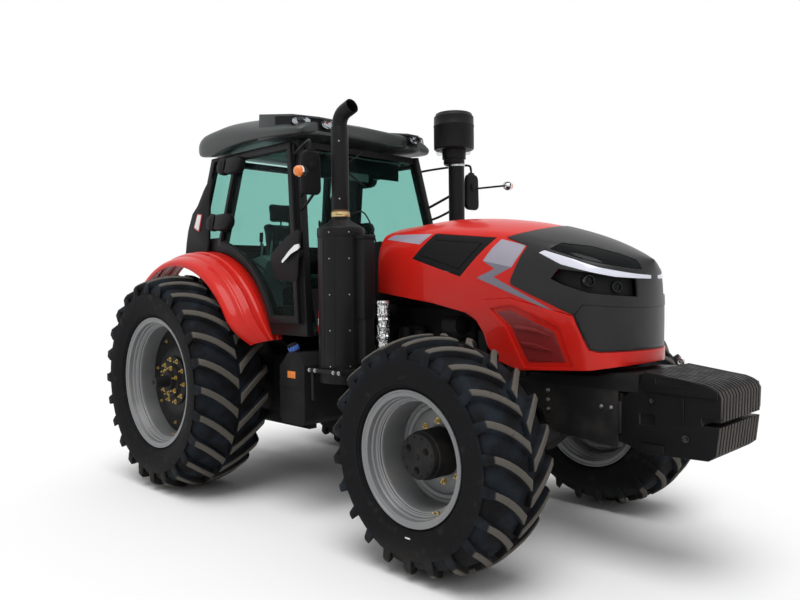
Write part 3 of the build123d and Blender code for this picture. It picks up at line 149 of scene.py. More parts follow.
class Finish:
    """A material under construction, with its Principled shader at the end of it."""

    def __init__(self, name):
        self.material = bpy.data.materials.new(name)
        self.material.use_nodes = True
        self.tree = self.material.node_tree
        self.shader = self.tree.nodes["Principled BSDF"]
        self.output = self.tree.nodes["Material Output"]
        self._place = None

    def node(self, kind, settings=None, values=(), output=0):
        """Adds one node: settings are set first, then values or links go to its sockets.

        The values go in the sockets' order, or by name when they come as a dictionary.
        """
        made = self.tree.nodes.new(kind)
        for key, value in (settings or {}).items():
            setattr(made, key, value)
        pairs = values.items() if isinstance(values, dict) else enumerate(values)
        for key, value in pairs:
            self.feed(made.inputs[key], value)
        return Signal(self, made.outputs[output])

    def feed(self, socket, value):
        if isinstance(value, Signal):
            self.tree.links.new(value.socket, socket)
        elif value is not None:
            socket.default_value = value

    @property
    def place(self):
        """Object coordinates, which are the model's own metres because every piece sits at the origin."""
        if self._place is None:
            self._place = self.node("ShaderNodeTexCoord", output="Object")
        return self._place

    def xyz(self, source=None):
        split = self.tree.nodes.new("ShaderNodeSeparateXYZ")
        self.feed(split.inputs[0], source or self.place)
        return [Signal(self, split.outputs[i]) for i in range(3)]

    def noise(self, scale, detail=3.0, source=None, stretch=None):
        where = source or self.place
        if stretch:
            where = self.node("ShaderNodeMapping", {}, {"Vector": where, "Scale": stretch})
        return self.node("ShaderNodeTexNoise", {}, {"Vector": where, "Scale": scale, "Detail": detail})

    def mix(self, factor, a, b):
        """A blend of two colours."""
        made = self.tree.nodes.new("ShaderNodeMix")
        made.data_type = "RGBA"
        self.feed(made.inputs["Factor"], factor)
        for socket, value in ((made.inputs[6], a), (made.inputs[7], b)):
            self.feed(socket, value if isinstance(value, Signal) else (*value, 1.0))
        return Signal(self, made.outputs[2])

    def bump(self, height, distance, strength=1.0):
        return self.node(
            "ShaderNodeBump", {}, {"Strength": strength, "Distance": distance, "Height": height}
        )

    def set(self, **sockets):
        """Sets the shader's own sockets: base_color, roughness, coat_weight and so on."""
        for key, value in sockets.items():
            name = " ".join(word.capitalize() for word in key.split("_")).replace("Ior", "IOR")
            if isinstance(value, tuple) and len(value) == 3 and "Color" in name:
                value = (*value, 1.0)
            self.feed(self.shader.inputs[name], value)
        return self.material


print("socket maths ready")

# %% [markdown]
# ## Paint, rubber and glass
# Tractor paint is a solid colour under a clear coat, so it gets a glossy coat over a slightly uneven base.
# Dust settles on it, strongest low down, and it dulls the gloss where it lies. The same two ideas, a fine
# bump and a film of dust that follows the height above the ground, serve every finish on the machine.

# %% Helpers for dust and grain
DUST = (0.33, 0.29, 0.24)


def dusted(finish, colour, roughness, low=0.3, high=2.4, most=0.16, base_rough=0.85):
    """Mixes dust into a colour and a roughness, more near the ground."""
    x, y, z = finish.xyz()
    patch = finish.noise(5.0, 5.0).fade(0.42, 0.72)
    film = (1.0 - z.fade(low, high)) * patch * most
    return finish.mix(film, colour, DUST), film * (base_rough - roughness) + roughness


def plain_finish(name, colour, roughness, grain=0.0, grain_scale=900.0, metallic=0.0, coat=0.0, most=0.16,
                 variation=0.06, gloss=0.5):
    """A finish with slight colour variation, dust and a fine grain."""
    finish = Finish(name)
    tone = finish.noise(3.0, 4.0)
    darker = tuple(channel * (1 - variation * 2) for channel in colour)
    lighter = tuple(min(1.0, channel * (1 + variation)) for channel in colour)
    base, rough = dusted(finish, finish.mix(tone, darker, lighter), roughness, most=most)
    values = {"base_color": base, "roughness": rough, "metallic": metallic, "coat_weight": coat,
              "specular_ior_level": gloss}
    if grain:
        values["normal"] = finish.bump(finish.noise(grain_scale, 2.0), grain)
    return finish.set(**values)


print("dust colour", DUST)

# %% [markdown]
# The red of the bodywork has an orange-peel ripple of a few millimetres, far too small to model, that only
# shows in the way highlights break up. A bump from stretched noise gives it.

# %% Red bodywork paint
RED = (0.62, 0.017, 0.011)


def red_paint(name):
    """Red under a clear coat, with a faint ripple."""
    finish = Finish(name)
    base = finish.mix(finish.noise(1.6, 2.0), tuple(c * 0.93 for c in RED), RED)
    base, rough = dusted(finish, base, 0.30, most=0.07)
    finish.set(base_color=base, roughness=rough, coat_weight=0.22, coat_roughness=0.05,
               specular_ior_level=0.10)
    return finish.set(normal=finish.bump(finish.noise(240.0, 1.0), 0.00006))


PAINT = red_paint("red paint")
DARK_VENT = plain_finish("dark red vent", (0.20, 0.012, 0.012), 0.42, grain=0.0002, grain_scale=700.0,
                         most=0.04)
BLACK_PLASTIC = plain_finish("black moulded plastic", (0.011, 0.011, 0.012), 0.50, grain=0.00022, most=0.03,
                             gloss=0.09)
BLACK_GLOSS = plain_finish("black gloss trim", (0.006, 0.006, 0.007), 0.14, coat=0.35, most=0.02, gloss=0.3)
BLACK_PAINT = plain_finish("black painted steel", (0.010, 0.010, 0.011), 0.42, grain=0.00012,
                           grain_scale=400.0, most=0.03, gloss=0.13)
CHASSIS = plain_finish("black chassis casting", (0.010, 0.010, 0.011), 0.55, grain=0.0005, grain_scale=260.0,
                       most=0.06, gloss=0.13)
ROOF_GREY = plain_finish("grey-green roof plastic", (0.026, 0.033, 0.032), 0.42, grain=0.0002, most=0.05)
LINING = plain_finish("grey cab lining", (0.17, 0.19, 0.18), 0.62, grain=0.0003, most=0.03)
SEAL = plain_finish("black rubber seal", (0.012, 0.012, 0.013), 0.66, grain=0.0002, most=0.06, gloss=0.22)
STEEL = plain_finish("bright steel", (0.46, 0.46, 0.47), 0.30, grain=0.00006, grain_scale=300.0,
                     metallic=1.0, most=0.10)
BOLT = plain_finish("yellow-plated bolts", (0.62, 0.46, 0.16), 0.34, metallic=1.0, most=0.10)
BLUE_CAP = plain_finish("blue cap", (0.05, 0.13, 0.45), 0.38, grain=0.0002, most=0.04)
ORANGE_LABEL = plain_finish("orange label", (0.78, 0.22, 0.03), 0.4, most=0.04)
YELLOW_LABEL = plain_finish("yellow label", (0.75, 0.55, 0.04), 0.4, most=0.04)
WHITE_TRIM = plain_finish("white trim", (0.78, 0.79, 0.80), 0.25, coat=0.4, most=0.02)
print("finishes", len(bpy.data.materials))

# %% [markdown]
# ## Stage, light and camera
# A machine this size is shown best under a big soft sky: the world lights it evenly, brighter from above,
# and one broad sun gives the roof and the hood their highlights. The floor is pale and fades to white a few
# metres out, so no horizon line crosses the picture. The camera stands low, off the right front corner.

# %% Camera
CAMERA_AT = at(6.002, -4.318, 1.762)
CAMERA_TURN, CAMERA_DOWN, CAMERA_ROLL = math.radians(45.16), math.radians(1.35), math.radians(-0.62)
CAMERA_LENS, SENSOR_WIDTH = 33.3495, 36.0     # millimetres

camera_data = bpy.data.cameras.new("camera")
camera_data.sensor_width = SENSOR_WIDTH
camera_data.lens = CAMERA_LENS
camera = bpy.data.objects.new("camera", camera_data)
bpy.context.scene.collection.objects.link(camera)
bpy.context.scene.camera = camera
look = Vector((
    -math.sin(CAMERA_TURN) * math.cos(CAMERA_DOWN),
    math.cos(CAMERA_TURN) * math.cos(CAMERA_DOWN),
    -math.sin(CAMERA_DOWN),
))
across = Vector((math.cos(CAMERA_TURN), math.sin(CAMERA_TURN), 0))
upward = across.cross(look)
across, upward = (
    across * math.cos(CAMERA_ROLL) + upward * math.sin(CAMERA_ROLL),
    upward * math.cos(CAMERA_ROLL) - across * math.sin(CAMERA_ROLL),
)
turn = Matrix((across, upward, -look)).transposed().to_4x4()
camera.matrix_world = Matrix.Translation(CAMERA_AT) @ turn
bpy.context.scene.view_settings.view_transform = "Standard"
print("lens %.2f mm" % camera_data.lens)

# %% World and sun
world = bpy.data.worlds.new("sky")
bpy.context.scene.world = world
world.use_nodes = True
nodes, links = world.node_tree.nodes, world.node_tree.links
nodes.clear()
ray = nodes.new("ShaderNodeLightPath")
direction = nodes.new("ShaderNodeTexCoord")
split = nodes.new("ShaderNodeSeparateXYZ")
ramp = nodes.new("ShaderNodeValToRGB")
for place, level in ((0.0, 0.08), (0.46, 0.10), (0.56, 0.24), (1.0, 1.25)):
    stop = ramp.color_ramp.elements.new(place)
    stop.color = (level, level, level * 1.01, 1)
ramp.color_ramp.elements.remove(ramp.color_ramp.elements[0])
ramp.color_ramp.elements.remove(ramp.color_ramp.elements[-1])
height = nodes.new("ShaderNodeMath")
height.operation = "MULTIPLY_ADD"
height.inputs[1].default_value = height.inputs[2].default_value = 0.5
links.new(direction.outputs["Generated"], split.inputs[0])
links.new(split.outputs[2], height.inputs[0])
links.new(height.outputs[0], ramp.inputs[0])
seen = nodes.new("ShaderNodeMath")
seen.operation = "MAXIMUM"
seen_all = nodes.new("ShaderNodeMath")
seen_all.operation = "MAXIMUM"
links.new(ray.outputs["Is Camera Ray"], seen.inputs[0])
links.new(ray.outputs["Is Transmission Ray"], seen.inputs[1])
links.new(seen.outputs[0], seen_all.inputs[0])
links.new(ray.outputs["Is Glossy Ray"], seen_all.inputs[1])
sky_light, sky_white = nodes.new("ShaderNodeBackground"), nodes.new("ShaderNodeBackground")
sky_white.inputs[0].default_value = (1, 1, 1, 1)
sky_white.inputs[1].default_value = 1.0
links.new(ramp.outputs[0], sky_light.inputs[0])
blend_sky, sky_output = nodes.new("ShaderNodeMixShader"), nodes.new("ShaderNodeOutputWorld")
for source, socket in (
    (seen_all.outputs[0], blend_sky.inputs[0]),
    (sky_light.outputs[0], blend_sky.inputs[1]),
    (sky_white.outputs[0], blend_sky.inputs[2]),
    (blend_sky.outputs[0], sky_output.inputs[0]),
):
    links.new(source, socket)


def lamp(name, kind, place, aim, energy, size):
    data = bpy.data.lights.new(name, kind)
    data.energy = energy
    if kind == "SUN":
        data.angle = size
    else:
        data.size = size
    made = bpy.data.objects.new(name, data)
    bpy.context.scene.collection.objects.link(made)
    made.location = place
    made.rotation_euler = (Vector(aim) - Vector(place)).to_track_quat("-Z", "Y").to_euler()
    return made


lamp("overcast sun", "SUN", (2.0, -2.6, 9), (0, 0, 0), 1.75, math.radians(40))
lamp("side fill", "AREA", (7, -7, 3.5), (0.5, 0, 1.0), 20, 4.0)

# %% Floor
bpy.ops.object.select_all(action="DESELECT")
bpy.ops.mesh.primitive_circle_add(vertices=64, radius=40, fill_type="NGON", location=(0, 0, 0))
floor = bpy.context.object
floor.name = "floor"
ground = Finish("pale floor")
gx, gy, _ = ground.xyz()
away = ((gx * gx + gy * gy) ** 0.5).fade(3.2, 8.0)
ground.set(base_color=(0.86, 0.86, 0.86), roughness=0.9, specular_ior_level=0.0)
path = ground.tree.nodes.new("ShaderNodeLightPath")
seen_floor = Signal(ground, path.outputs["Is Camera Ray"]) * away
white = ground.tree.nodes.new("ShaderNodeEmission")
floor_mix = ground.tree.nodes.new("ShaderNodeMixShader")
ground.feed(floor_mix.inputs[0], seen_floor)
ground.tree.links.new(ground.shader.outputs[0], floor_mix.inputs[1])
ground.tree.links.new(white.outputs[0], floor_mix.inputs[2])
ground.tree.links.new(floor_mix.outputs[0], ground.output.inputs[0])
floor.data.materials.append(ground.material)
print("floor laid")

# %% [markdown]
# ## Glass and lamps
# Cab glass on a tractor is tinted green and only a few millimetres thick, so it doesn't bend what is behind
# it. It is a mix of a Transparent shader, whose colour is the tint of one pane, and a glossy one that grows
# towards the edges. That keeps the cab's inside lit and clear.

# %% Glass finishes
def clear_finish(name, tint, gloss=0.10, roughness=0.03):
    finish = Finish(name)
    finish.set(base_color=(0.02, 0.03, 0.03), roughness=roughness, specular_ior_level=0.8)
    see = finish.tree.nodes.new("ShaderNodeBsdfTransparent")
    see.inputs[0].default_value = (*tint, 1)
    facing = finish.node("ShaderNodeLayerWeight", {}, {"Blend": 0.5}, output="Facing")
    blend = finish.tree.nodes.new("ShaderNodeMixShader")
    finish.feed(blend.inputs[0], facing ** 4 * 0.6 + gloss)
    finish.tree.links.new(see.outputs[0], blend.inputs[1])
    finish.tree.links.new(finish.shader.outputs[0], blend.inputs[2])
    finish.tree.links.new(blend.outputs[0], finish.output.inputs[0])
    return finish.material


CAB_GLASS = clear_finish("green cab glass", (0.70, 0.865, 0.835), gloss=0.035)
CLEAR_LENS = clear_finish("clear lens", (0.93, 0.95, 0.96), gloss=0.12)
SMOKED_LENS = clear_finish("smoked lens", (0.18, 0.19, 0.21), gloss=0.14)
REFLECTOR = plain_finish("bright reflector", (0.80, 0.80, 0.82), 0.10, metallic=1.0, most=0.0)
AMBER = plain_finish("amber lens", (0.85, 0.20, 0.01), 0.14, coat=0.6, most=0.0)
RED_LENS = plain_finish("red lens", (0.55, 0.012, 0.010), 0.14, coat=0.6, most=0.0)
DAY_LAMP = Finish("white light strip").set(
    base_color=(0.56, 0.57, 0.64), roughness=0.2, emission_color=(0.85, 0.86, 1.0), emission_strength=0.12,
    coat_weight=0.5
)
print("glass ready")

# %% [markdown]
# ## A small bench of tools
# Every added piece starts as a primitive and is shaped in edit mode. These helpers do what a modeller's
# hands do over and over: clear the selection, lathe a profile round an axle, cut a plate to an outline,
# and hand the finished piece to the body it moves with.

# %% Starting and finishing a piece
def clear():
    if bpy.context.object and bpy.context.object.mode != "OBJECT":
        bpy.ops.object.mode_set(mode="OBJECT")
    bpy.ops.object.select_all(action="DESELECT")


def only(obj):
    clear()
    obj.select_set(True)
    bpy.context.view_layer.objects.active = obj
    return obj


def settle(obj):
    """Puts the piece's place, turn and size into its mesh."""
    only(obj)
    bpy.ops.object.transform_apply(location=True, rotation=True, scale=True)
    return obj


def modify(obj, kind, **settings):
    """Adds a modifier and applies it."""
    only(obj)
    made = obj.modifiers.new(kind.lower(), kind)
    for key, value in settings.items():
        setattr(made, key, value)
    bpy.ops.object.modifier_apply(modifier=made.name)
    return obj


def rounded(obj, width=0.004, segments=2, angle=35):
    """A bevel along the edges that turn more than the angle."""
    return modify(obj, "BEVEL", width=width, segments=segments, limit_method="ANGLE",
                  angle_limit=math.radians(angle), harden_normals=False)


def smooth(obj, angle=35):
    only(obj)
    bpy.ops.object.shade_smooth_by_angle(angle=math.radians(angle))
    return obj


def face_out(obj):
    """Merges doubles and points the faces outwards."""
    only(obj)
    bpy.ops.object.mode_set(mode="EDIT")
    bpy.ops.mesh.select_all(action="SELECT")
    bpy.ops.mesh.remove_doubles(threshold=0.00002)
    bpy.ops.mesh.normals_make_consistent(inside=False)
    bpy.ops.object.mode_set(mode="OBJECT")
    return obj


def join(pieces, name=None):
    """Several pieces as one object."""
    only(pieces[0])
    for piece in pieces[1:]:
        piece.select_set(True)
    bpy.ops.object.join()
    made = bpy.context.object
    if name:
        made.name = name
    return made


def copy(obj, move=(0, 0, 0)):
    """A copy with its own mesh, moved."""
    made = obj.copy()
    made.data = obj.data.copy()
    bpy.context.scene.collection.objects.link(made)
    made.data.transform(Matrix.Translation(Vector(move)))
    return made


def turned(obj, angle, axis, centre):
    """The piece, turned about an axis through a point."""
    centre = Vector(centre)
    obj.data.transform(
        Matrix.Translation(centre) @ Matrix.Rotation(angle, 4, axis) @ Matrix.Translation(-centre)
    )
    return obj


def turned_copy(obj, angle, axis, centre):
    return turned(copy(obj), angle, axis, centre)


def mirrored(obj, name):
    """The same piece for the other side of the tractor."""
    made = copy(obj)
    made.name = name
    made.data.transform(Matrix.Scale(-1, 4, (0, 1, 0)))
    only(made)
    bpy.ops.object.mode_set(mode="EDIT")
    bpy.ops.mesh.select_all(action="SELECT")
    bpy.ops.mesh.flip_normals()
    bpy.ops.object.mode_set(mode="OBJECT")
    return made


SLOT_OF = {
    # finish: the slot of the pieces that wear it, where a piece names no other
    "red paint": "red_paint", "dark red vent": "vent_red", "silver wheel paint": "rim_silver",
    "black moulded plastic": "black_plastic", "black nose moulding": "black_plastic",
    "black rubber seal": "black_plastic", "light mauve sticker": "black_plastic",
    "dark mauve sticker": "black_plastic", "blue cap": "black_plastic", "black painted steel": "black_metal",
    "black chassis casting": "chassis_black", "weight paint": "chassis_black",
    "grey-green roof plastic": "roof_grey", "grey cab lining": "console_grey",
    "black woven seat cloth": "seat_fabric", "bright steel": "bright_steel", "chrome": "bright_steel",
    "yellow-plated bolts": "bright_steel", "yellow-plated clamp": "bright_steel",
    "crumpled foil": "bright_steel", "clear lens": "lamp_glass", "smoked lens": "lamp_glass",
    "bright reflector": "lamp_glass",
    "amber lens": "lamp_glass", "white light strip": "lamp_glass",
}


def done(obj, name, finish, body="root", replaces=(), slot=None, angle=35):
    """Names, paints and shades a piece, and hands it to its body."""
    slot = slot or SLOT_OF.get(finish.name)
    obj.name = name
    obj.data.name = name
    obj.data.materials.clear()
    obj.data.materials.append(finish)
    smooth(obj, angle)
    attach(obj, body)
    if replaces:
        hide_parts(*replaces)
    return obj


print("bench ready")

# %% Bars, boxes, plates and turned pieces
def box(low, high, bevel=0.0, segments=2):
    """A block between two corners, its edges rounded."""
    low, high = Vector(low), Vector(high)
    clear()
    bpy.ops.mesh.primitive_cube_add(size=1, location=(low + high) / 2)
    made = bpy.context.object
    made.scale = high - low
    settle(made)
    return rounded(made, bevel, segments) if bevel else made


def bar(start, end, radius, sides=20, bevel=0.0, tip=None):
    """A round bar between two points; tip makes its far end another radius."""
    start, end = Vector(start), Vector(end)
    clear()
    if tip is None:
        bpy.ops.mesh.primitive_cylinder_add(vertices=sides, radius=radius, depth=(end - start).length)
    else:
        bpy.ops.mesh.primitive_cone_add(vertices=sides, radius1=radius, radius2=tip,
                                        depth=(end - start).length)
    made = bpy.context.object
    made.rotation_mode = "QUATERNION"
    made.rotation_quaternion = (end - start).to_track_quat("Z", "Y")
    made.location = (start + end) / 2
    settle(made)
    return rounded(made, bevel, 2) if bevel else made


def plate(outline, normal, thickness, bevel=0.0):
    """A flat plate: a filled circle whose points are moved to the outline and extruded along the normal."""
    clear()
    bpy.ops.mesh.primitive_circle_add(vertices=len(outline), radius=1, fill_type="NGON")
    made = bpy.context.object
    for vertex, point in zip(made.data.vertices, outline):
        vertex.co = Vector(point)
    only(made)
    bpy.ops.object.mode_set(mode="EDIT")
    bpy.ops.mesh.select_all(action="SELECT")
    shift = Vector(normal).normalized() * thickness
    bpy.ops.mesh.extrude_region_move(TRANSFORM_OT_translate={"value": shift})
    bpy.ops.mesh.select_all(action="SELECT")
    bpy.ops.mesh.normals_make_consistent(inside=False)
    bpy.ops.object.mode_set(mode="OBJECT")
    return rounded(made, bevel, 2) if bevel else made


def lathe(profile, centre, axis, steps=64, closed=False):
    """Spins a profile of (distance along the axis, radius) round the axis through the centre."""
    centre, axis = Vector(centre), Vector(axis).normalized()
    out = axis.orthogonal().normalized()
    clear()
    bpy.ops.mesh.primitive_circle_add(vertices=len(profile), radius=1, fill_type="NOTHING")
    made = bpy.context.object
    for vertex, (along, radius) in zip(made.data.vertices, profile):
        vertex.co = centre + axis * along + out * radius
    only(made)
    if not closed:
        # open the ring between the last point and the first
        mesh = bmesh.new()
        mesh.from_mesh(made.data)
        mesh.verts.ensure_lookup_table()
        edge = mesh.edges.get((mesh.verts[len(profile) - 1], mesh.verts[0]))
        mesh.edges.remove(edge)
        mesh.to_mesh(made.data)
        mesh.free()
    bpy.ops.object.mode_set(mode="EDIT")
    bpy.ops.mesh.select_all(action="SELECT")
    bpy.ops.mesh.spin(steps=steps, angle=2 * math.pi, center=centre, axis=axis)
    bpy.ops.mesh.select_all(action="SELECT")
    bpy.ops.mesh.remove_doubles(threshold=0.00005)
    bpy.ops.mesh.normals_make_consistent(inside=False)
    bpy.ops.object.mode_set(mode="OBJECT")
    return made


def pipe(points, radius, bends=10, sides=12):
    """A rigid pipe along a route with smooth bends: a NURBS curve with thickness, made a mesh."""
    clear()
    bpy.ops.curve.primitive_nurbs_path_add()
    made = bpy.context.object
    route = made.data.splines[0]
    made.data.splines.remove(route)
    route = made.data.splines.new("NURBS")
    route.points.add(len(points) - 1)
    for spot, point in zip(route.points, points):
        spot.co = (*Vector(point), 1)
    route.order_u = 3
    route.use_endpoint_u = True
    made.data.bevel_depth = radius
    made.data.bevel_resolution = max(1, sides // 4 - 1)
    made.data.resolution_u = bends
    made.data.use_fill_caps = True
    only(made)
    bpy.ops.object.convert(target="MESH")
    made = bpy.context.object
    return settle(made)


def wire(along, radius, thick, sides=8):
    """The round section of a ring of wire, to be turned round an axis."""
    angles = [index * 2 * math.pi / sides for index in range(sides)]
    return [(along + thick * math.cos(angle), radius + thick * math.sin(angle)) for angle in angles]


def across_axis(radius, count, start=0.0):
    """Evenly spaced (x, z) offsets round a wheel's axle."""
    for index in range(count):
        angle = start + 2 * math.pi * index / count
        yield angle, radius * math.cos(angle), radius * math.sin(angle)


print("shaping tools ready")

# %% Shells and lofts
def loft(rings):
    """A solid through a row of rings: a filled circle, extruded once for each ring and moved to it."""
    clear()
    bpy.ops.mesh.primitive_circle_add(vertices=len(rings[0]), radius=1, fill_type="NGON")
    made = bpy.context.object
    for vertex, point in zip(made.data.vertices, rings[0]):
        vertex.co = Vector(point)
    bpy.ops.object.mode_set(mode="EDIT")
    bpy.ops.mesh.select_all(action="SELECT")
    for before, after in zip(rings, rings[1:]):
        bpy.ops.mesh.extrude_region_move()
        mesh = bmesh.from_edit_mesh(made.data)
        for vertex in (v for v in mesh.verts if v.select):
            nearest = min(range(len(before)), key=lambda i: (vertex.co - Vector(before[i])).length_squared)
            vertex.co = Vector(after[nearest])
        bmesh.update_edit_mesh(made.data)
    bpy.ops.mesh.select_all(action="SELECT")
    bpy.ops.mesh.normals_make_consistent(inside=False)
    bpy.ops.object.mode_set(mode="OBJECT")
    return made


def skin(shape, columns, rows):
    """A sheet: a grid whose points go where shape(u, v) says, u and v from 0 to 1."""
    clear()
    bpy.ops.mesh.primitive_grid_add(x_subdivisions=columns, y_subdivisions=rows, size=1)
    made = bpy.context.object
    for vertex in made.data.vertices:
        vertex.co = Vector(shape(vertex.co.x + 0.5, vertex.co.y + 0.5))
    return made


def carve(obj, cutter, operation="DIFFERENCE"):
    """A boolean with a cutter, which is deleted afterwards."""
    modify(obj, "BOOLEAN", object=cutter, operation=operation, solver="EXACT")
    bpy.data.objects.remove(cutter)
    return obj


def mirror_pair(obj, name, finish, body=None, replaces=(), slot=None, angle=35):
    """Finishes a right-hand piece and its left-hand twin; names ending in _right change to _left."""
    other = mirrored(obj, name.replace("right", "left"))
    for piece, side_name in ((obj, "right"), (other, "left")):
        done(
            piece, name.replace("right", side_name), finish, (body or "root").replace("right", side_name),
            tuple(node.replace("right", side_name) for node in replaces), slot, angle,
        )
    return obj, other


print("shells and lofts ready")

# %% [markdown]
# ## Tyres
# A drive tyre is a smooth casing with deep bars moulded on it. The bars run from the middle to the shoulder
# in a V whose point meets the ground first, steep near the middle and flatter outside, and step down the
# sidewall at their outer end. The casing is one profile spun round the axle. One bar is lofted along its
# curve, and its copies are turned round the wheel, the other hand's half a pitch later.

# %% Rubber
def rubber(name, centre, radius, half, drop):
    """Black rubber: brown-grey dust on the bars' tips, bluish in the valleys, scuffed on the sidewall."""
    finish = Finish(name)
    x, y, z = finish.xyz()
    dx, dz = x - centre.x, z - centre.z
    out = (dx * dx + dz * dz) ** 0.5
    side = abs(y - centre.y) / (half * 0.9)
    crown = radius - side ** 2.2 * drop - out
    grime = finish.noise(34.0, 5.0)
    tip = (1.0 - crown.fade(0.004, 0.014)) * grime.fade(0.16, 0.40) * (out > radius - 0.13)
    valley = out.fade(radius - 0.17, radius - 0.11) * (1.0 - tip)
    blotch = finish.noise(7.0, 4.0).fade(0.38, 0.70)
    base = finish.mix(blotch * valley * 0.7, (0.008, 0.008, 0.009), (0.018, 0.025, 0.034))
    scuff = finish.noise(12.0, 6.0, stretch=(1.0, 0.4, 1.0)).fade(0.56, 0.80) * (1.0 - valley)
    base = finish.mix(scuff * 0.35, base, (0.060, 0.054, 0.047))
    base = finish.mix(tip * 0.85, base, (0.118, 0.106, 0.092))
    low = (1.0 - z.fade(0.0, 0.30)) * 0.25
    base = finish.mix(low, base, (0.10, 0.09, 0.075))
    finish.set(base_color=base, roughness=grime * 0.2 + 0.62, specular_ior_level=0.08)
    return finish.set(normal=finish.bump(finish.noise(520.0, 3.0) + grime * 2.0, 0.0009, 0.6))


print("rubber ready")

# %% Casing and bars
TYRES = {
    # wheel: centre, radius, half width, rim radius, half rim width, bars, bar depth, drop at the shoulder
    "rear": (Vector((REAR.x, -REAR_TRACK, REAR.z)), 0.925, 0.3225, 0.559, 0.268, 24, 0.050, 0.052),
    "front": (Vector((FRONT.x, -FRONT_TRACK, FRONT.z)), 0.725, 0.270, 0.407, 0.243, 22, 0.046, 0.044),
}
INNER_END, SHOULDER, LEAD, CURVE, BAR_SHARE = 0.03, 0.94, 1.02, 0.28, 0.050


def crown_height(radius, drop, share):
    """The tread's radius at a share of the half width."""
    return radius - drop * (max(0.0, share - INNER_END) / (0.90 - INNER_END)) ** 2.2


def bar_lead(half, share):
    """How far forward a bar has run at a share of the half width."""
    return half * (LEAD * (SHOULDER - share) - CURVE * (SHOULDER ** 2 - share ** 2))


def bar_slope(share):
    return math.atan(LEAD - 2 * CURVE * share)


def casing(radius, half, rim_radius, rim_half, depth, drop):
    """The tyre's outline from bead to bead, as (distance outward, radius)."""
    bead = rim_half - 0.014
    seat = rim_radius - 0.020
    belly_r = seat + (radius - seat) * 0.46
    shoulder_r = radius - drop - depth - 0.022
    side_points = [
        (bead, seat), (bead + 0.001, rim_radius + 0.006), (bead + 0.012, rim_radius + 0.016),
        (bead + 0.020, rim_radius + 0.018), (bead + 0.022, rim_radius + 0.030),
        (bead + 0.030, rim_radius + 0.034),
        (half - 0.012, belly_r - 0.050), (half - 0.002, belly_r), (half - 0.003, belly_r + 0.045),
        (half * 0.955, shoulder_r - 0.045), (half * 0.90, shoulder_r),
    ]
    crown = [
        (half * share, crown_height(radius, drop, abs(share)) - depth)
        for share in (0.80, 0.62, 0.42, 0.21, 0, -0.21, -0.42, -0.62, -0.80)
    ]
    other = [(-along, height) for along, height in reversed(side_points)]
    return side_points + crown + other


def bar_lug(centre, radius, half, depth, drop, hand):
    """One bar at the top of the tyre, on one hand, its outer end at the wheel's top."""
    thick = radius * BAR_SHARE
    rings = []
    for share in (INNER_END, 0.14, 0.30, 0.48, 0.66, 0.82, SHOULDER):
        lead, slope = bar_lead(half, share), bar_slope(share)
        widen = 1.25 if share == INNER_END else 1.0
        top = crown_height(radius, drop, share)
        wide = thick / 2 * widen / math.cos(slope)
        draft = 0.011 / math.cos(slope)
        foot = top - depth - 0.012
        ring = []
        for along, height in ((-wide - draft, foot), (-wide, top), (wide, top), (wide + draft, foot)):
            angle = (lead + along) / radius
            ring.append((share, angle, height))
        rings.append(ring)
    # the outer end steps down the shoulder on to the sidewall
    for share, below, fall, widen in ((0.985, 0.028, 0.075, 0.78), (1.0, 0.100, 0.045, 1.10)):
        wide, height = thick * widen, radius - drop - below
        low, out = height - fall, wide + 0.012
        ring = []
        for along, level in ((-out, low), (-wide, height), (wide, height), (out, low)):
            ring.append((share - (0.06 if level < height else 0), along / radius, level))
        rings.append(ring)
    places = [
        [
            centre + Vector((math.sin(angle) * height, hand * share * half, math.cos(angle) * height))
            for share, angle, height in ring
        ]
        for ring in rings
    ]
    made = loft(places)
    return rounded(made, 0.005, 1, 30)


for wheel, (centre, radius, half, rim_radius, rim_half, bars, depth, drop) in TYRES.items():
    steps = 72 if wheel == "front" else 84
    shell = lathe(casing(radius, half, rim_radius, rim_half, depth, drop), centre, (0, -1, 0), steps)
    pieces = [shell]
    pitch = 2 * math.pi / bars
    # turned so that a bar's corner stands exactly on the ground
    corner = 0.625 * radius * BAR_SHARE / math.cos(bar_slope(INNER_END))
    start = -(bar_lead(half, INNER_END) + corner) / radius
    for hand in (RIGHT, LEFT):
        first = bar_lug(centre, radius, half, depth, drop, hand)
        shift = start if hand == RIGHT else start + pitch / 2
        pieces += [turned_copy(first, shift + index * pitch, "Y", centre) for index in range(bars)]
        bpy.data.objects.remove(first)
    tyre = join(pieces, f"{wheel}_tyre_skin")
    twin = mirrored(tyre, f"{wheel}_tyre_skin_left")
    for (name, hand), piece in zip(SIDES, (tyre, twin)):
        side_centre = Vector((centre.x, hand * abs(centre.y), centre.z))
        side_rubber = rubber(f"{wheel} rubber {name}", side_centre, radius, half, drop)
        done(piece, f"{wheel}_tyre_skin_{name}", side_rubber, f"{wheel}_wheel_{name}",
             (f"{wheel}_tyre_{name}",), "tyre", 40)
    print(wheel, "tyre triangles", sum(len(p.vertices) - 2 for p in tyre.data.polygons))

# %% [markdown]
# ## Rims, discs and hubs
# A tractor rim is rolled from one strip: a lip that holds the tyre, a bead seat, a small hump and steps down
# to the well that lets the tyre be fitted. Those steps are what the light picks out, so the rim is a spun
# profile with every step in it. The disc is welded deep inside and bolted to the hub.

# %% Rim finish
RIM_SILVER = plain_finish("silver wheel paint", (0.20, 0.205, 0.21), 0.40, grain=0.0002, grain_scale=500.0,
                          metallic=0.35, most=0.22)


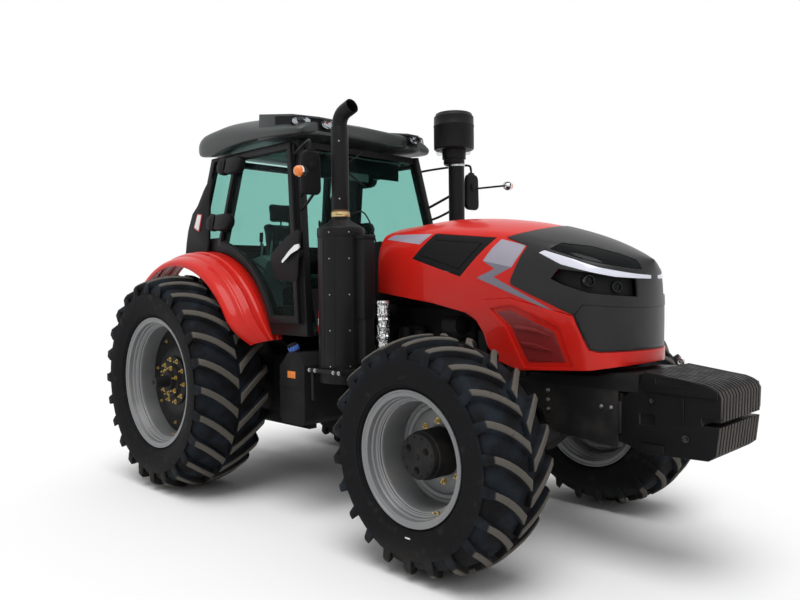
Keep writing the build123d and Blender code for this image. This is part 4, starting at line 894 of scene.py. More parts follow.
def spun_rim(radius, half, centre):
    """A rolled rim: the same steps from each lip down to the well."""
    seat = radius - 0.026
    well = seat - 0.046
    steps_in = [
        (0.000, radius - 0.004), (0.003, radius - 0.011), (0.010, radius - 0.016), (0.013, seat - 0.014),
        (0.046, seat - 0.016), (0.052, seat - 0.024), (0.072, seat - 0.028), (0.078, seat - 0.038),
        (0.096, seat - 0.042), (0.102, seat - 0.053), (0.124, well - 0.012),
    ]
    steps_out = [
        (0.000, radius), (0.012, radius), (0.013, seat), (0.062, seat), (0.088, well), (0.124, well),
    ]
    inside = [(half - s, r) for s, r in steps_in] + [(-half + s, r) for s, r in reversed(steps_in)]
    outside = [(-half + s, r) for s, r in steps_out] + [(half - s, r) for s, r in reversed(steps_out)]
    return rounded(lathe(inside + outside, centre, (0, -1, 0), 96, closed=True), 0.003, 2, 20)


def bolt(place, direction, size=0.014, stud=0.012):
    """A hexagon nut on a washer, with the stud's end standing out of it."""
    place, direction = Vector(place), Vector(direction).normalized()
    washer = bar(place, place + direction * 0.004, size * 1.45, 20)
    nut = bar(place + direction * 0.003, place + direction * size * 1.15, size, 6, bevel=size * 0.08)
    end = bar(place + direction * size, place + direction * (size * 1.1 + stud), size * 0.52, 12,
              bevel=size * 0.1)
    return join([washer, nut, end])


def ring_of(piece, count, centre, axis="Y", start=0.0):
    """Copies of a piece turned round an axle, joined."""
    copies = [turned_copy(piece, start + index * 2 * math.pi / count, axis, centre)
              for index in range(count)]
    bpy.data.objects.remove(piece)
    return join(copies)


def wheel_middle(wheel):
    return TYRES[wheel][0]


# front wheel, modelled on the right
centre = wheel_middle("front")
rim_radius, rim_half = TYRES["front"][3:5]
rim = spun_rim(rim_radius, rim_half, centre)
mirror_pair(rim, "front_rim_skin_right", RIM_SILVER, "front_wheel_right", ("front_rim_right",))
disc = lathe([
    (-0.044, 0.3225), (-0.044, 0.300), (-0.058, 0.292), (-0.064, 0.270), (-0.052, 0.260),
    (-0.050, 0.250), (-0.050, 0.150), (-0.070, 0.150), (-0.070, 0.255), (-0.082, 0.272), (-0.074, 0.300),
    (-0.060, 0.3225),
], centre, (0, -1, 0), 96, closed=True)
rounded(disc, 0.003, 2, 25)
tabs = []
for angle, dx, dz in across_axis(0.309, 8, 0.3):
    tab = box((-0.034, -0.004, -0.006), (0.034, 0.004, 0.006), 0.004, 2)
    tab.data.transform(Matrix.Rotation(math.pi / 2 - angle, 4, "Y"))
    tab.data.transform(Matrix.Translation(centre + Vector((dx, 0.042, dz))))
    tabs.append(tab)
disc = join([disc, *tabs])
mirror_pair(disc, "front_disc_right", RIM_SILVER, "front_wheel_right")
nuts = ring_of(bolt(centre + Vector((0.186, 0.050, 0)), (0, -1, 0), 0.0135, 0.014), 10, centre, start=0.2)
mirror_pair(nuts, "front_wheel_nuts_right", BOLT, "front_wheel_right")
hub = lathe([
    (-0.155, 0.061), (-0.155, 0.149), (-0.096, 0.149), (-0.094, 0.214), (-0.0705, 0.214),
    (-0.0705, 0.149), (0.110, 0.1485), (0.118, 0.146), (0.122, 0.140), (0.128, 0.139), (0.158, 0.137),
    (0.165, 0.130), (0.165, 0.0), (-0.110, 0.0), (-0.110, 0.061),
], centre, (0, -1, 0), 72)
for angle, dx, dz in across_axis(0.082, 3, 0.5):
    spot = centre + Vector((dx, 0, dz))
    carve(hub, bar(spot + Vector((0, -0.172, 0)), spot + Vector((0, -0.140, 0)), 0.026, 24, tip=0.016))
studs = [bar(centre + Vector((dx, -0.158, dz)), centre + Vector((dx, -0.1705, dz)), 0.007, 6, 0.001)
         for _, dx, dz in across_axis(0.118, 12, 0.2)]
plug = bar(centre + Vector((0, -0.16, 0)), centre + Vector((0, -0.171, 0)), 0.016, 24, 0.002)
hub = join([hub, *studs, plug])
rounded(hub, 0.0015, 2, 40)
mirror_pair(hub, "front_hub_casting_right", CHASSIS, "front_wheel_right", ("front_hub_right",))
print("front wheels")

# %% [markdown]
# The rear wheels are turned with their dish inwards, so one looks down into the rim at a black disc, its
# ring of plated bolts and the split clamp that grips the bar axle. The bar axle is long, so that the track
# can be changed by sliding the whole wheel along it.

# %% Rear wheels
centre = wheel_middle("rear")
rim_radius, rim_half = TYRES["rear"][3:5]
mirror_pair(spun_rim(rim_radius, rim_half, centre), "rear_rim_skin_right", RIM_SILVER, "rear_wheel_right",
            ("rear_rim_right",), "rim_silver")
disc = lathe([
    (0.020, 0.484), (0.030, 0.470), (0.034, 0.440), (0.034, 0.350), (0.050, 0.322), (0.070, 0.262),
    (0.074, 0.240), (0.074, 0.150), (0.058, 0.150), (0.058, 0.240), (0.052, 0.258), (0.034, 0.312),
    (0.018, 0.340), (0.014, 0.440), (0.006, 0.484),
], centre, (0, -1, 0), 96, closed=True)
rounded(disc, 0.003, 2, 25)
bead = lathe(wire(0.020, 0.4815, 0.004), centre, (0, -1, 0), 96, closed=True)
mirror_pair(bead, "rear_disc_weld_right", RIM_SILVER, "rear_wheel_right")
mirror_pair(disc, "rear_disc_right", BLACK_PAINT, "rear_wheel_right")
outer_nuts = ring_of(bolt(centre + Vector((0.395, -0.034, 0)), (0, -1, 0), 0.011, 0.008), 8, centre,
                     start=0.2)
inner_nuts = ring_of(bolt(centre + Vector((0.186, -0.094, 0)), (0, -1, 0), 0.014, 0.016), 10, centre,
                     start=0.1)
clamp_bolts = []
for angle, dx, dz in across_axis(0.114, 6, 0.3):
    clamp_bolts.append(bolt(centre + Vector((dx, -0.124, dz)), (0, -1, 0), 0.015, 0.024))
mirror_pair(join([outer_nuts, inner_nuts, *clamp_bolts]), "rear_wheel_nuts_right", BOLT, "rear_wheel_right")
hub = lathe([
    (-0.100, 0.0), (-0.100, 0.061), (-0.145, 0.061), (-0.145, 0.120), (-0.110, 0.120), (-0.110, 0.233),
    (-0.0805, 0.233), (-0.0805, 0.149), (0.058, 0.149), (0.058, 0.1485), (0.0745, 0.1485),
    (0.0745, 0.216), (0.090, 0.216), (0.094, 0.210), (0.094, 0.146), (0.118, 0.140), (0.124, 0.134),
    (0.124, 0.092), (0.150, 0.086), (0.154, 0.080), (0.154, 0.052), (0.268, 0.052), (0.2745, 0.046),
    (0.2745, 0.018), (0.262, 0.014), (0.262, 0.0),
], centre, (0, -1, 0), 72)
keyway = box(centre + Vector((-0.008, -0.262, 0.044)), centre + Vector((0.008, -0.16, 0.060)), 0.002)
carve(hub, keyway)
mirror_pair(rounded(hub, 0.0015, 2, 40), "rear_hub_casting_right", CHASSIS, "rear_wheel_right",
            ("rear_hub_right",))
print("rear wheels")

# %% Valves and balance marks
BRASS = plain_finish("yellow-plated clamp", (0.55, 0.42, 0.20), 0.32, metallic=1.0, most=0.1)
for wheel, low in (("front", 0.243), ("rear", 0.268)):
    centre = wheel_middle(wheel)
    rim_radius = TYRES[wheel][3]
    inside = rim_radius - 0.058
    stem = [
        bar(centre + Vector((inside * 0.55, -low + 0.045, -inside * 0.835)),
            centre + Vector((inside * 0.53, -low + 0.012, -inside * 0.805)), 0.0055, 12),
        bar(centre + Vector((inside * 0.551, -low + 0.060, -inside * 0.837)),
            centre + Vector((inside * 0.548, -low + 0.040, -inside * 0.832)), 0.011, 12, 0.002),
    ]
    mirror_pair(join(stem), f"{wheel}_valve_right", BRASS, f"{wheel}_wheel_right")
centre = wheel_middle("front")
mark = box(centre + Vector((-0.012, -0.2612, -0.466)), centre + Vector((0.028, -0.2575, -0.458)), 0.0005)
mirror_pair(mark, "tyre_mark_right", WHITE_TRIM, "front_wheel_right", (), "tyre")
print("valves")

# %% [markdown]
# ## The hood's surface
# A modern hood is one flowing moulding from the cab to the nose. Its shape is set by five cross-sections:
# crown, shoulder, waist and foot. Between them the surface runs smoothly, the corners of each section are
# cut twice so that they read as large radii, and towards the tip every section narrows along an ellipse, so
# the nose is round in plan. One grid laid on that surface is the mother of every panel: a panel is a copy of
# it, given a thickness, and cut to its outline.

# %% Sections of the hood
HOOD_SECTIONS = [
    # station, crown, shoulder half, shoulder height, waist half, waist height, foot half
    (1.870, 2.200, 0.380, 2.110, 0.448, 1.950, 0.440),
    (2.420, 2.232, 0.396, 2.118, 0.460, 1.950, 0.446),
    (3.040, 2.172, 0.400, 2.060, 0.464, 1.890, 0.430),
    (3.500, 2.052, 0.385, 1.945, 0.452, 1.790, 0.400),
    (3.900, 1.870, 0.330, 1.790, 0.420, 1.650, 0.375),
]
HOOD_BACK, NOSE_START, NOSE_LENGTH, HOOD_FOOT = 1.872, 3.600, 0.272, 1.150
STRAIGHT = 0.72     # the share of the sheet's columns that lie behind the rounded nose


def smooth_between(station, column):
    """The section table read at any station, with a curve that passes through its rows."""
    rows = HOOD_SECTIONS
    last = len(rows) - 2
    index = max(0, min(last, sum(station > row[0] for row in rows) - 1))
    (x0, y0), (x1, y1) = ((rows[i][0], rows[i][column]) for i in (index, index + 1))

    def slope(i):
        low, high = max(0, i - 1), min(len(rows) - 1, i + 1)
        return (rows[high][column] - rows[low][column]) / (rows[high][0] - rows[low][0])

    width = x1 - x0
    t = (station - x0) / width
    m0, m1 = slope(index) * width, slope(index + 1) * width
    return ((2 * t**3 - 3 * t**2 + 1) * y0 + (t**3 - 2 * t**2 + t) * m0
            + (3 * t**2 - 2 * t**3) * y1 + (t**3 - t**2) * m1)


def cut_corners(line, rounds=2, share=0.25):
    """A line with its corners cut off, twice over: a soft radius."""
    for _ in range(rounds):
        cut = [line[0]]
        for (y0, z0), (y1, z1) in zip(line, line[1:]):
            cut.append((y0 + (y1 - y0) * share, z0 + (z1 - z0) * share))
            cut.append((y1 + (y0 - y1) * share, z1 + (z0 - z1) * share))
        line = cut + [line[-1]]
    return line


def walk(line, share):
    """The point a share of the way along a line."""
    lengths = [math.dist(a, b) for a, b in zip(line, line[1:])]
    left = share * sum(lengths)
    for (a, b), length in zip(zip(line, line[1:]), lengths):
        if left <= length:
            t = left / length if length else 0
            return a[0] + (b[0] - a[0]) * t, a[1] + (b[1] - a[1]) * t
        left -= length
    return line[-1]


def hood_line(station):
    """Half a section, from the crown down to the foot."""
    crown, shoulder, shoulder_z, waist, waist_z, foot = (smooth_between(station, c) for c in range(1, 7))
    top = [(shoulder * t, shoulder_z + (crown - shoulder_z) * (1 - t * t)) for t in (0, 0.2, 0.4, 0.6, 0.8)]
    side = [(shoulder, shoulder_z), (waist, waist_z), (waist - 0.008, (waist_z + HOOD_FOOT) / 2),
            (foot, HOOD_FOOT)]
    return cut_corners(top + side)


hood_lines = {}


def hood_point(u, v):
    """u runs from the cab to the tip of the nose, v over the hood from the right foot to the left."""
    if u < STRAIGHT:
        station, narrow = HOOD_BACK + (NOSE_START - HOOD_BACK) * u / STRAIGHT, 1.0
    else:
        angle = (u - STRAIGHT) / (1 - STRAIGHT) * math.pi / 2
        station, narrow = NOSE_START + NOSE_LENGTH * math.sin(angle), math.cos(angle)
    key = round(u, 6)
    if key not in hood_lines:
        hood_lines[key] = hood_line(station)
    y, z = walk(hood_lines[key], abs(2 * v - 1))
    return at(station, y * narrow * (1 if v > 0.5 else -1), z)


HOOD_COLUMNS, HOOD_ROWS = 72, 84
hood_sheet = face_out(skin(hood_point, HOOD_COLUMNS, HOOD_ROWS))
print("hood sheet points", len(hood_sheet.data.vertices))

# %% Cutting a panel out of it
def side_cutter(outline, near=0.0, far=0.7, grow=0.0):
    """A side outline drawn through the tractor, between two distances from the middle, on both sides."""
    if grow:
        outline = grown(outline, grow)
    if not near:
        return plate([at(x, -far, z) for x, z in outline], (0, 1, 0), 2 * far)
    halves = []
    for hand in (RIGHT, LEFT):
        halves.append(plate([at(x, hand * near, z) for x, z in outline], (0, hand, 0), far - near))
    return join(halves)


def grown(outline, amount):
    """An outline moved outwards by an amount, corner by corner."""
    area = sum(x0 * z1 - x1 * z0 for (x0, z0), (x1, z1) in zip(outline, outline[1:] + outline[:1]))
    sense = 1 if area > 0 else -1
    moved = []
    for before, point, after in zip(outline[-1:] + outline[:-1], outline, outline[1:] + outline[:1]):
        a, b = Vector(point) - Vector(before), Vector(after) - Vector(point)
        na, nb = Vector((a.y, -a.x)).normalized() * sense, Vector((b.y, -b.x)).normalized() * sense
        corner = (na + nb).normalized()
        moved.append(tuple(Vector(point) + corner * amount / max(0.4, corner.dot(na))))
    return moved


def hood_panel(outline, depth, proud, holes=(), near=0.0, far=0.7, bevel=0.003, gap=0.002):
    """A panel of the hood: the sheet from depth inside the surface to proud outside it, cut to an outline.

    A hole is an outline, or an outline with the distances from the middle between which it is cut.
    """
    panel = copy(hood_sheet)
    modify(panel, "SOLIDIFY", thickness=depth + proud, offset=(proud - depth) / (proud + depth))
    if outline:
        carve(panel, side_cutter(outline, near, far, -gap / 2), "INTERSECT")
    for hole in holes:
        options = {} if isinstance(hole, list) else hole[1]
        points = hole if isinstance(hole, list) else hole[0]
        carve(panel, side_cutter(points, grow=gap / 2, **options))
    return rounded(panel, bevel, 2, 42) if bevel else panel


HOOD_SIDE = [
    (1.860, 1.690), (2.150, 1.652), (2.450, 1.612), (2.747, 1.552), (2.850, 1.497), (2.905, 1.420),
    (2.936, 1.328), (3.020, 1.240), (3.169, 1.191), (3.664, 1.221), (3.900, 1.262), (3.900, 2.400),
    (1.860, 2.400),
]
MASK = [
    (3.055, 2.050), (3.228, 1.988), (3.129, 1.771), (3.132, 1.742), (3.580, 1.554), (3.669, 1.348),
    (3.718, 1.336), (3.900, 1.341), (3.900, 2.400), (3.400, 2.400), (3.292, 2.150), (3.238, 2.112),
]
SIDE_PANEL = [(2.425, 2.108), (2.242, 1.934), (2.703, 1.799), (2.975, 2.052)]
FASCIA = [
    (2.757, 1.581), (2.916, 1.643), (3.120, 1.655), (3.580, 1.548), (3.665, 1.345), (3.712, 1.331),
    (3.900, 1.336), (3.900, 1.262), (3.664, 1.221), (3.169, 1.191), (3.020, 1.240), (2.936, 1.328),
    (2.905, 1.420), (2.850, 1.497),
]
VENT_RECESS = [(2.966, 1.585), (3.145, 1.604), (3.480, 1.480), (3.560, 1.235), (3.215, 1.212),
               (3.090, 1.470)]
VENT = [(3.010, 1.566), (3.130, 1.578), (3.445, 1.450), (3.515, 1.262), (3.245, 1.250), (3.125, 1.478)]
LENS = [(3.387, 1.961), (3.436, 1.998), (3.600, 1.972), (3.743, 1.922), (3.900, 1.846), (3.900, 1.815),
        (3.640, 1.880)]
DAY_STRIP = [(3.322, 1.940), (3.357, 1.955), (3.560, 1.893), (3.705, 1.840), (3.900, 1.785), (3.900, 1.765),
             (3.781, 1.781), (3.486, 1.862)]
LAMP_RECESS = [(3.427, 1.776), (3.476, 1.835), (3.705, 1.803), (3.900, 1.760), (3.900, 1.655),
               (3.678, 1.687), (3.516, 1.737)]
LOWER_GRILLE = [(3.588, 1.552), (3.640, 1.618), (3.900, 1.594), (3.900, 1.345), (3.720, 1.341),
                (3.674, 1.352)]
STRIPES = [
    # grey-mauve stickers: a wedge at the back, a plate, and a zigzag that thins out forwards
    [(1.915, 2.091), (1.969, 2.124), (2.390, 2.108), (2.296, 2.036)],
    [(3.020, 2.040), (3.215, 1.992), (3.190, 1.938), (2.966, 1.984)],
    [(2.966, 1.984), (3.190, 1.938), (3.134, 1.853), (2.901, 1.900)],
    [(2.901, 1.900), (3.134, 1.853), (2.992, 1.792), (3.526, 1.541), (2.850, 1.788), (3.000, 1.846)],
]
PRINT_LIGHT = plain_finish("light mauve sticker", (0.33, 0.31, 0.38), 0.32, coat=0.5, most=0.03)
PRINT_DARK = plain_finish("dark mauve sticker", (0.15, 0.14, 0.19), 0.32, coat=0.5, most=0.03)

body = hood_panel(HOOD_SIDE, 0.006, 0.0001, [MASK, (SIDE_PANEL, {}), (FASCIA, {"near": 0.001})], bevel=0.004)
done(body, "hood_skin", PAINT, "hood", ("hood",), angle=30)
fascia = hood_panel(FASCIA, 0.006, 0.010, [VENT_RECESS], bevel=0.006)
done(fascia, "hood_fascia", PAINT, "hood", angle=30)
recess = hood_panel(VENT_RECESS, 0.006, 0.0001, [VENT], gap=-0.02)
done(recess, "vent_surround", PAINT, "hood", angle=30)
vent = hood_panel(VENT, 0.008, 0.003, bevel=0.004)
LOUVRES = [
    [(3.150, 1.482), (3.300, 1.468), (3.412, 1.424), (3.300, 1.436), (3.170, 1.456)],
    [(3.195, 1.378), (3.310, 1.366), (3.425, 1.330), (3.310, 1.334), (3.215, 1.350)],
]
louvres = [hood_panel(louvre, 0.010, 0.011, bevel=0.004) for louvre in LOUVRES]
done(join([vent, *louvres]), "vent_panels", DARK_VENT, "hood", ("hood_grilles",), angle=30)
panel = hood_panel(SIDE_PANEL, 0.010, 0.001, [grown(SIDE_PANEL, -0.045)], bevel=0.004)
inner = hood_panel(grown(SIDE_PANEL, -0.046), 0.008, 0.004, bevel=0.006)
backing = hood_panel(grown(SIDE_PANEL, -0.012), 0.014, -0.010, bevel=0)
done(join([panel, inner, backing]), "hood_side_grilles", BLACK_PLASTIC, "hood", angle=30)
NOSE_BLACK = plain_finish("black nose moulding", (0.010, 0.010, 0.011), 0.36, grain=0.00025, most=0.03,
                          gloss=0.30)
mask = hood_panel(MASK, 0.008, 0.006, [
    (LENS, {"near": 0.118}), (DAY_STRIP, {"near": 0.043}), (LAMP_RECESS, {"near": 0.165}), LOWER_GRILLE,
], bevel=0.005)
done(mask, "nose_mask", NOSE_BLACK, "hood", ("hood_nose",), angle=30)
for number, (outline, finish) in enumerate(zip(STRIPES, [PRINT_LIGHT] * 3 + [PRINT_DARK]), 1):
    sticker = hood_panel(outline, 0.001, 0.0009, bevel=0, gap=0.0)
    done(sticker, f"hood_stripe_{number}", finish, "hood", (), "black_plastic", 30)
print("hood panels cut")

# %% Lamps in the nose
strip = hood_panel(DAY_STRIP, 0.006, 0.009, near=0.045, bevel=0.003)
done(strip, "day_running_strips", DAY_LAMP, "hood", ("headlamps",), angle=30)
lens = hood_panel(LENS, 0.004, 0.004, near=0.12, bevel=0.001)
done(lens, "headlamp_lenses", SMOKED_LENS, "hood", ("headlamps",), angle=30)
DARK_CHROME = plain_finish("dark reflector", (0.16, 0.165, 0.175), 0.22, metallic=0.9, most=0.0)
bowl = hood_panel(grown(LENS, 0.004), 0.045, -0.030, near=0.116, bevel=0)
done(bowl, "headlamp_bowls", DARK_CHROME, "hood", (), "black_plastic", 30)
pocket = hood_panel(grown(LAMP_RECESS, 0.006), 0.052, -0.040, near=0.15, bevel=0)
done(pocket, "lamp_pockets", BLACK_PLASTIC, "hood", angle=30)
FOG_LAMPS = [(3.672, 0.402, 1.760, 0.036), (3.786, 0.280, 1.722, 0.033)]     # x, y, z, radius
FOG_AXIS, FOG_DEPTH = Vector((0.86, -0.50, 0.05)).normalized(), 0.052
FOG_PARTS = [
    # name, profile as (along, share of the radius), finish, slot
    ("ring", [(0.0, 1.0), (0.040, 1.0), (0.044, 0.94), (0.044, 0.84), (0.0, 0.84)], BLACK_GLOSS,
     "black_plastic"),
    ("bowl", [(0.0, 0.0), (0.0, 0.84), (0.030, 0.84), (0.016, 0.5), (0.010, 0.0)], DARK_CHROME,
     "lamp_glass"),
    ("lens", [(0.036, 0.0), (0.032, 0.84), (0.036, 0.84), (0.042, 0.4), (0.043, 0.0)], SMOKED_LENS,
     "lamp_glass"),
]
for number, (x, y, z, radius) in enumerate(FOG_LAMPS, 1):
    heart = at(x, -y, z) - FOG_AXIS * FOG_DEPTH
    made = [lathe([(along, share * radius) for along, share in profile], heart, FOG_AXIS, 32, part == "ring")
            for part, profile, _, _ in FOG_PARTS]
    for piece, (part, _, finish, slot) in zip(made, FOG_PARTS):
        mirror_pair(piece, f"fog_lamp_{part}_{number}_right", finish, "hood", (), slot, 40)
grille = hood_panel(LOWER_GRILLE, 0.008, 0.003, bevel=0.003)
done(grille, "nose_grille", NOSE_BLACK, "hood", angle=30)
print("nose lamps")
bpy.data.objects.remove(hood_sheet)

# %% [markdown]
# ## Softening a solid
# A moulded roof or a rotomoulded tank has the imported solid's shape with large soft edges. A copy of that
# solid has its loose triangles merged, its flat faces joined up, and then a wide bevel, which gives soft
# highlights without moving anything. The copy stands in for the solid.

# %% A softened copy
def solid_copy(node):
    """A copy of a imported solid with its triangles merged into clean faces."""
    made = bpy.data.objects.new(node + "_copy", frame["nodes"][node].data.copy())
    bpy.context.scene.collection.objects.link(made)
    only(made)
    bpy.ops.object.mode_set(mode="EDIT")
    bpy.ops.mesh.select_all(action="SELECT")
    bpy.ops.mesh.remove_doubles(threshold=0.00002)
    bpy.ops.mesh.dissolve_limited(angle_limit=math.radians(1.0))
    bpy.ops.object.mode_set(mode="OBJECT")
    return made


def softened(node, width, segments=3, angle=30):
    return rounded(solid_copy(node), width, segments, angle)


print("softening ready")

# %% [markdown]
# ## Exhaust
# The silencer of a big diesel holds its catalysts, so it is a tall drum, wrapped in a heat shield with a
# cone on top. A band clamp joins the tail pipe, which wears a sleeve so that nobody is burnt, and its mouth
# is turned away and cut square.

# %% Silencer and stack
CAN = at(1.800, -0.750, 0)
can = lathe([
    (1.030, 0.0), (1.030, 0.160), (1.036, 0.170), (1.044, 0.172), (2.098, 0.172), (2.100, 0.1735),
    (2.106, 0.176), (2.158, 0.176), (2.166, 0.173), (2.172, 0.166), (2.192, 0.130), (2.222, 0.080),
    (2.234, 0.066), (2.262, 0.062), (2.262, 0.0),
], CAN, (0, 0, 1), 96)
seams = [box(CAN + Vector((-0.006, -0.1745, 1.06)), CAN + Vector((0.006, -0.168, 2.09)), 0.002)]
seams = [turned_copy(seams[0], angle, "Z", CAN) for angle in (0.55, 1.35, 2.9, 4.2)] + seams
rivet = bar(CAN + Vector((0, -0.170, 0)), CAN + Vector((0, -0.1765, 0)), 0.005, 12, 0.0015)
rivets = []
for angle in (0.35, 1.2):
    for z in (1.16, 1.42, 1.68, 1.94, 2.13):
        rivets.append(turned(copy(rivet, (0, 0, z)), angle, "Z", CAN))
bpy.data.objects.remove(rivet)
side_box = box(at(1.900, -0.758, 1.50), at(2.056, -0.642, 2.098), 0.010, 3)
side_lid = box(at(1.890, -0.764, 2.074), at(2.060, -0.636, 2.110), 0.008, 3)
strip_box = box(at(1.900, -0.750, 1.18), at(2.053, -0.656, 1.51), 0.008, 3)
feet = [box(at(1.70, -0.60, z), at(1.90, -0.30, z + 0.03), 0.004) for z in (1.12, 1.30)]
lug_ring = lathe(wire(-0.006, 0.022, 0.006), at(1.66, -0.83, 2.205), (1, 1, 0), 20, closed=True)
lug_stem = bar(at(1.668, -0.822, 2.15), at(1.662, -0.828, 2.188), 0.007, 12)
can = join([can, *seams, side_box, side_lid, strip_box, *feet, lug_ring, lug_stem])
done(can, "silencer", BLACK_PAINT, "root", ("muffler",))
done(join(rivets), "silencer_rivets", STEEL)
RUST = plain_finish("rusty collar", (0.16, 0.085, 0.045), 0.75, grain=0.0006, grain_scale=160.0,
                    metallic=0.3, most=0.2)
collar = lathe([(2.240, 0.058), (2.240, 0.0635), (2.300, 0.0635), (2.300, 0.058)], CAN, (0, 0, 1), 64,
               closed=True)
done(collar, "stack_collar", RUST, "root", (), "black_metal")
clamp = lathe([(2.252, 0.064), (2.250, 0.067), (2.256, 0.069), (2.280, 0.069), (2.286, 0.067),
               (2.284, 0.064)], CAN, (0, 0, 1), 64, closed=True)
screw = bar(CAN + Vector((0.03, -0.072, 2.268)), CAN + Vector((0.075, -0.045, 2.268)), 0.007, 10, 0.002)
done(join([clamp, screw]), "stack_clamp", BRASS)

sleeve = lathe([(2.300, 0.052), (2.300, 0.063), (2.304, 0.065), (2.905, 0.065), (2.909, 0.063),
                (2.909, 0.050)], CAN, (0, 0, 1), 72, closed=True)
BEND_AT, BEND_RADIUS, BEND_TURN, TAIL_LENGTH = 2.925, 0.100, math.radians(72), 0.080
PIPE, PIPE_SIDES, BEND_STEPS = 0.056, 32, 12


def pipe_ring(heart, out, radius):
    """The points round the tail pipe."""
    return [heart + (out * math.cos(a) + Vector((0, 1, 0)) * math.sin(a)) * radius
            for a in [i * 2 * math.pi / PIPE_SIDES for i in range(PIPE_SIDES)]]


rings = [pipe_ring(CAN + Vector((0, 0, z)), Vector((1, 0, 0)), PIPE) for z in (2.290, 2.900)]
for step in range(BEND_STEPS + 1):
    bend = BEND_TURN * step / BEND_STEPS
    heart = CAN + Vector((BEND_RADIUS * (1 - math.cos(bend)), 0, BEND_AT + BEND_RADIUS * math.sin(bend)))
    rings.append(pipe_ring(heart, Vector((math.cos(bend), 0, -math.sin(bend))), PIPE))
tip_ahead = Vector((math.sin(BEND_TURN), 0, math.cos(BEND_TURN)))
tip_out = Vector((math.cos(BEND_TURN), 0, -math.sin(BEND_TURN)))
mouth = heart + tip_ahead * (TAIL_LENGTH - 0.001)
rings.append(pipe_ring(mouth, tip_out, PIPE))
for depth in (0.0, 0.070):
    rings.append(pipe_ring(mouth - tip_ahead * depth, tip_out, PIPE - 0.005))
stack = join([loft(rings), sleeve])
rounded(stack, 0.0015, 1, 60)
done(stack, "tail_pipe", BLACK_PAINT, "root", ("exhaust_stack",), angle=40)
screws = [bar(CAN + Vector((0.045, -0.045, z)), CAN + Vector((0.049, -0.049, z)), 0.005, 10)
          for z in (2.38, 2.80)]
done(join(screws), "sleeve_screws", STEEL)
done(box(at(1.645, -0.832, 1.42), at(1.652, -0.80, 1.56), 0.001), "silencer_label_yellow", YELLOW_LABEL,
     "root")
print("exhaust")

# %% [markdown]
# ## Fenders
# Each rear fender is a pressed sheet rolled round the tyre, with pressed creases along it that keep it
# stiff. A cross-section with those creases is swept round the axle as a grid and given the metal's thickness.

# %% Fender sheets
FENDER_ARC = 1.135
FENDER_CREASES = [
    # distance from the middle, height over the arc
    (0.757, 0.0), (0.800, 0.001), (0.812, -0.007), (0.850, -0.008), (0.862, -0.001), (0.905, -0.004),
    (0.918, -0.015), (0.958, -0.020), (0.972, -0.014), (1.020, -0.032), (1.036, -0.048), (1.078, -0.060),
    (1.110, -0.074), (1.130, -0.090), (1.139, -0.108), (1.140, -0.135),
]
FENDER_SECTION = [(y, FENDER_ARC + rise) for y, rise in FENDER_CREASES]
FENDER_FROM, FENDER_TO = math.radians(20), math.radians(160)
# the ends round off: over this share of the arc, by this much at the outer edge, from one y over another
END_SHARE, END_PULL, PULL_FROM, PULL_OVER = 0.10, 0.16, 0.80, 0.34


def fender_point(u, v):
    y, radius = walk(FENDER_SECTION, v)
    angle = FENDER_FROM + (FENDER_TO - FENDER_FROM) * u
    ends = min(u, 1 - u) / END_SHARE
    if ends < 1:
        y = y - (1 - ends) ** 2 * END_PULL * max(0.0, (y - PULL_FROM) / PULL_OVER)
    return Vector((REAR.x + radius * math.cos(angle), -y, REAR.z + radius * math.sin(angle)))


fender = face_out(skin(fender_point, 72, 60))
modify(fender, "SOLIDIFY", thickness=0.006, offset=-1)
rounded(fender, 0.002, 2, 60)
mirror_pair(fender, "fender_sheet_right", PAINT, "root", ("rear_fenders",), angle=25)
print("fenders")

# %% [markdown]
# ## Roof
# The roof is one large moulding that droops at the rear corners and thins towards the front, with a lamp
# pod on each front corner. Sections across the tractor, each with its corners cut soft, are lofted from
# front to back; each pod is a block whose sides are hollowed out to leave a lip over a dark panel.

# %% Roof moulding
ROOF_STATIONS = [
    # x, middle bottom, edge bottom, edge half, edge top, shoulder half, shoulder z, crown half, crown z
    (-0.2145, 2.975, 2.965, 0.735, 3.050, 0.700, 3.085, 0.480, 3.105),
    (-0.190, 2.962, 2.948, 0.765, 3.062, 0.720, 3.110, 0.500, 3.132),
    (-0.080, 2.950, 2.922, 0.794, 3.080, 0.742, 3.140, 0.550, 3.168),
    (0.110, 2.945, 2.9205, 0.799, 3.098, 0.742, 3.155, 0.580, 3.190),
    (0.300, 2.950, 2.950, 0.799, 3.098, 0.735, 3.165, 0.600, 3.203),
    (0.600, 2.955, 2.965, 0.799, 3.068, 0.722, 3.145, 0.580, 3.192),
    (0.900, 2.955, 2.957, 0.799, 3.034, 0.702, 3.112, 0.550, 3.162),
    (1.140, 2.955, 2.942, 0.798, 3.006, 0.690, 3.076, 0.540, 3.118),
    (1.270, 2.962, 2.938, 0.770, 2.992, 0.680, 3.048, 0.540, 3.082),
    (1.318, 2.970, 2.948, 0.740, 2.990, 0.665, 3.036, 0.530, 3.066),
    (1.330, 2.984, 2.966, 0.715, 2.994, 0.640, 3.022, 0.515, 3.048),
]


def between(rows, t):
    """A smooth row of values between the given rows; t runs from 0 to 1 over all of them."""
    spot = min(t * (len(rows) - 1), len(rows) - 1.0001)
    index, share = int(spot), spot - int(spot)
    made = []
    for column in range(len(rows[0])):
        p0, p1, p2, p3 = (rows[min(max(index + k, 0), len(rows) - 1)][column] for k in (-1, 0, 1, 2))
        cubic = share * (3 * (p1 - p2) + p3 - p0)
        made.append(p1 + 0.5 * share * (p2 - p0 + share * (2 * p0 - 5 * p1 + 4 * p2 - p3 + cubic)))
    return made


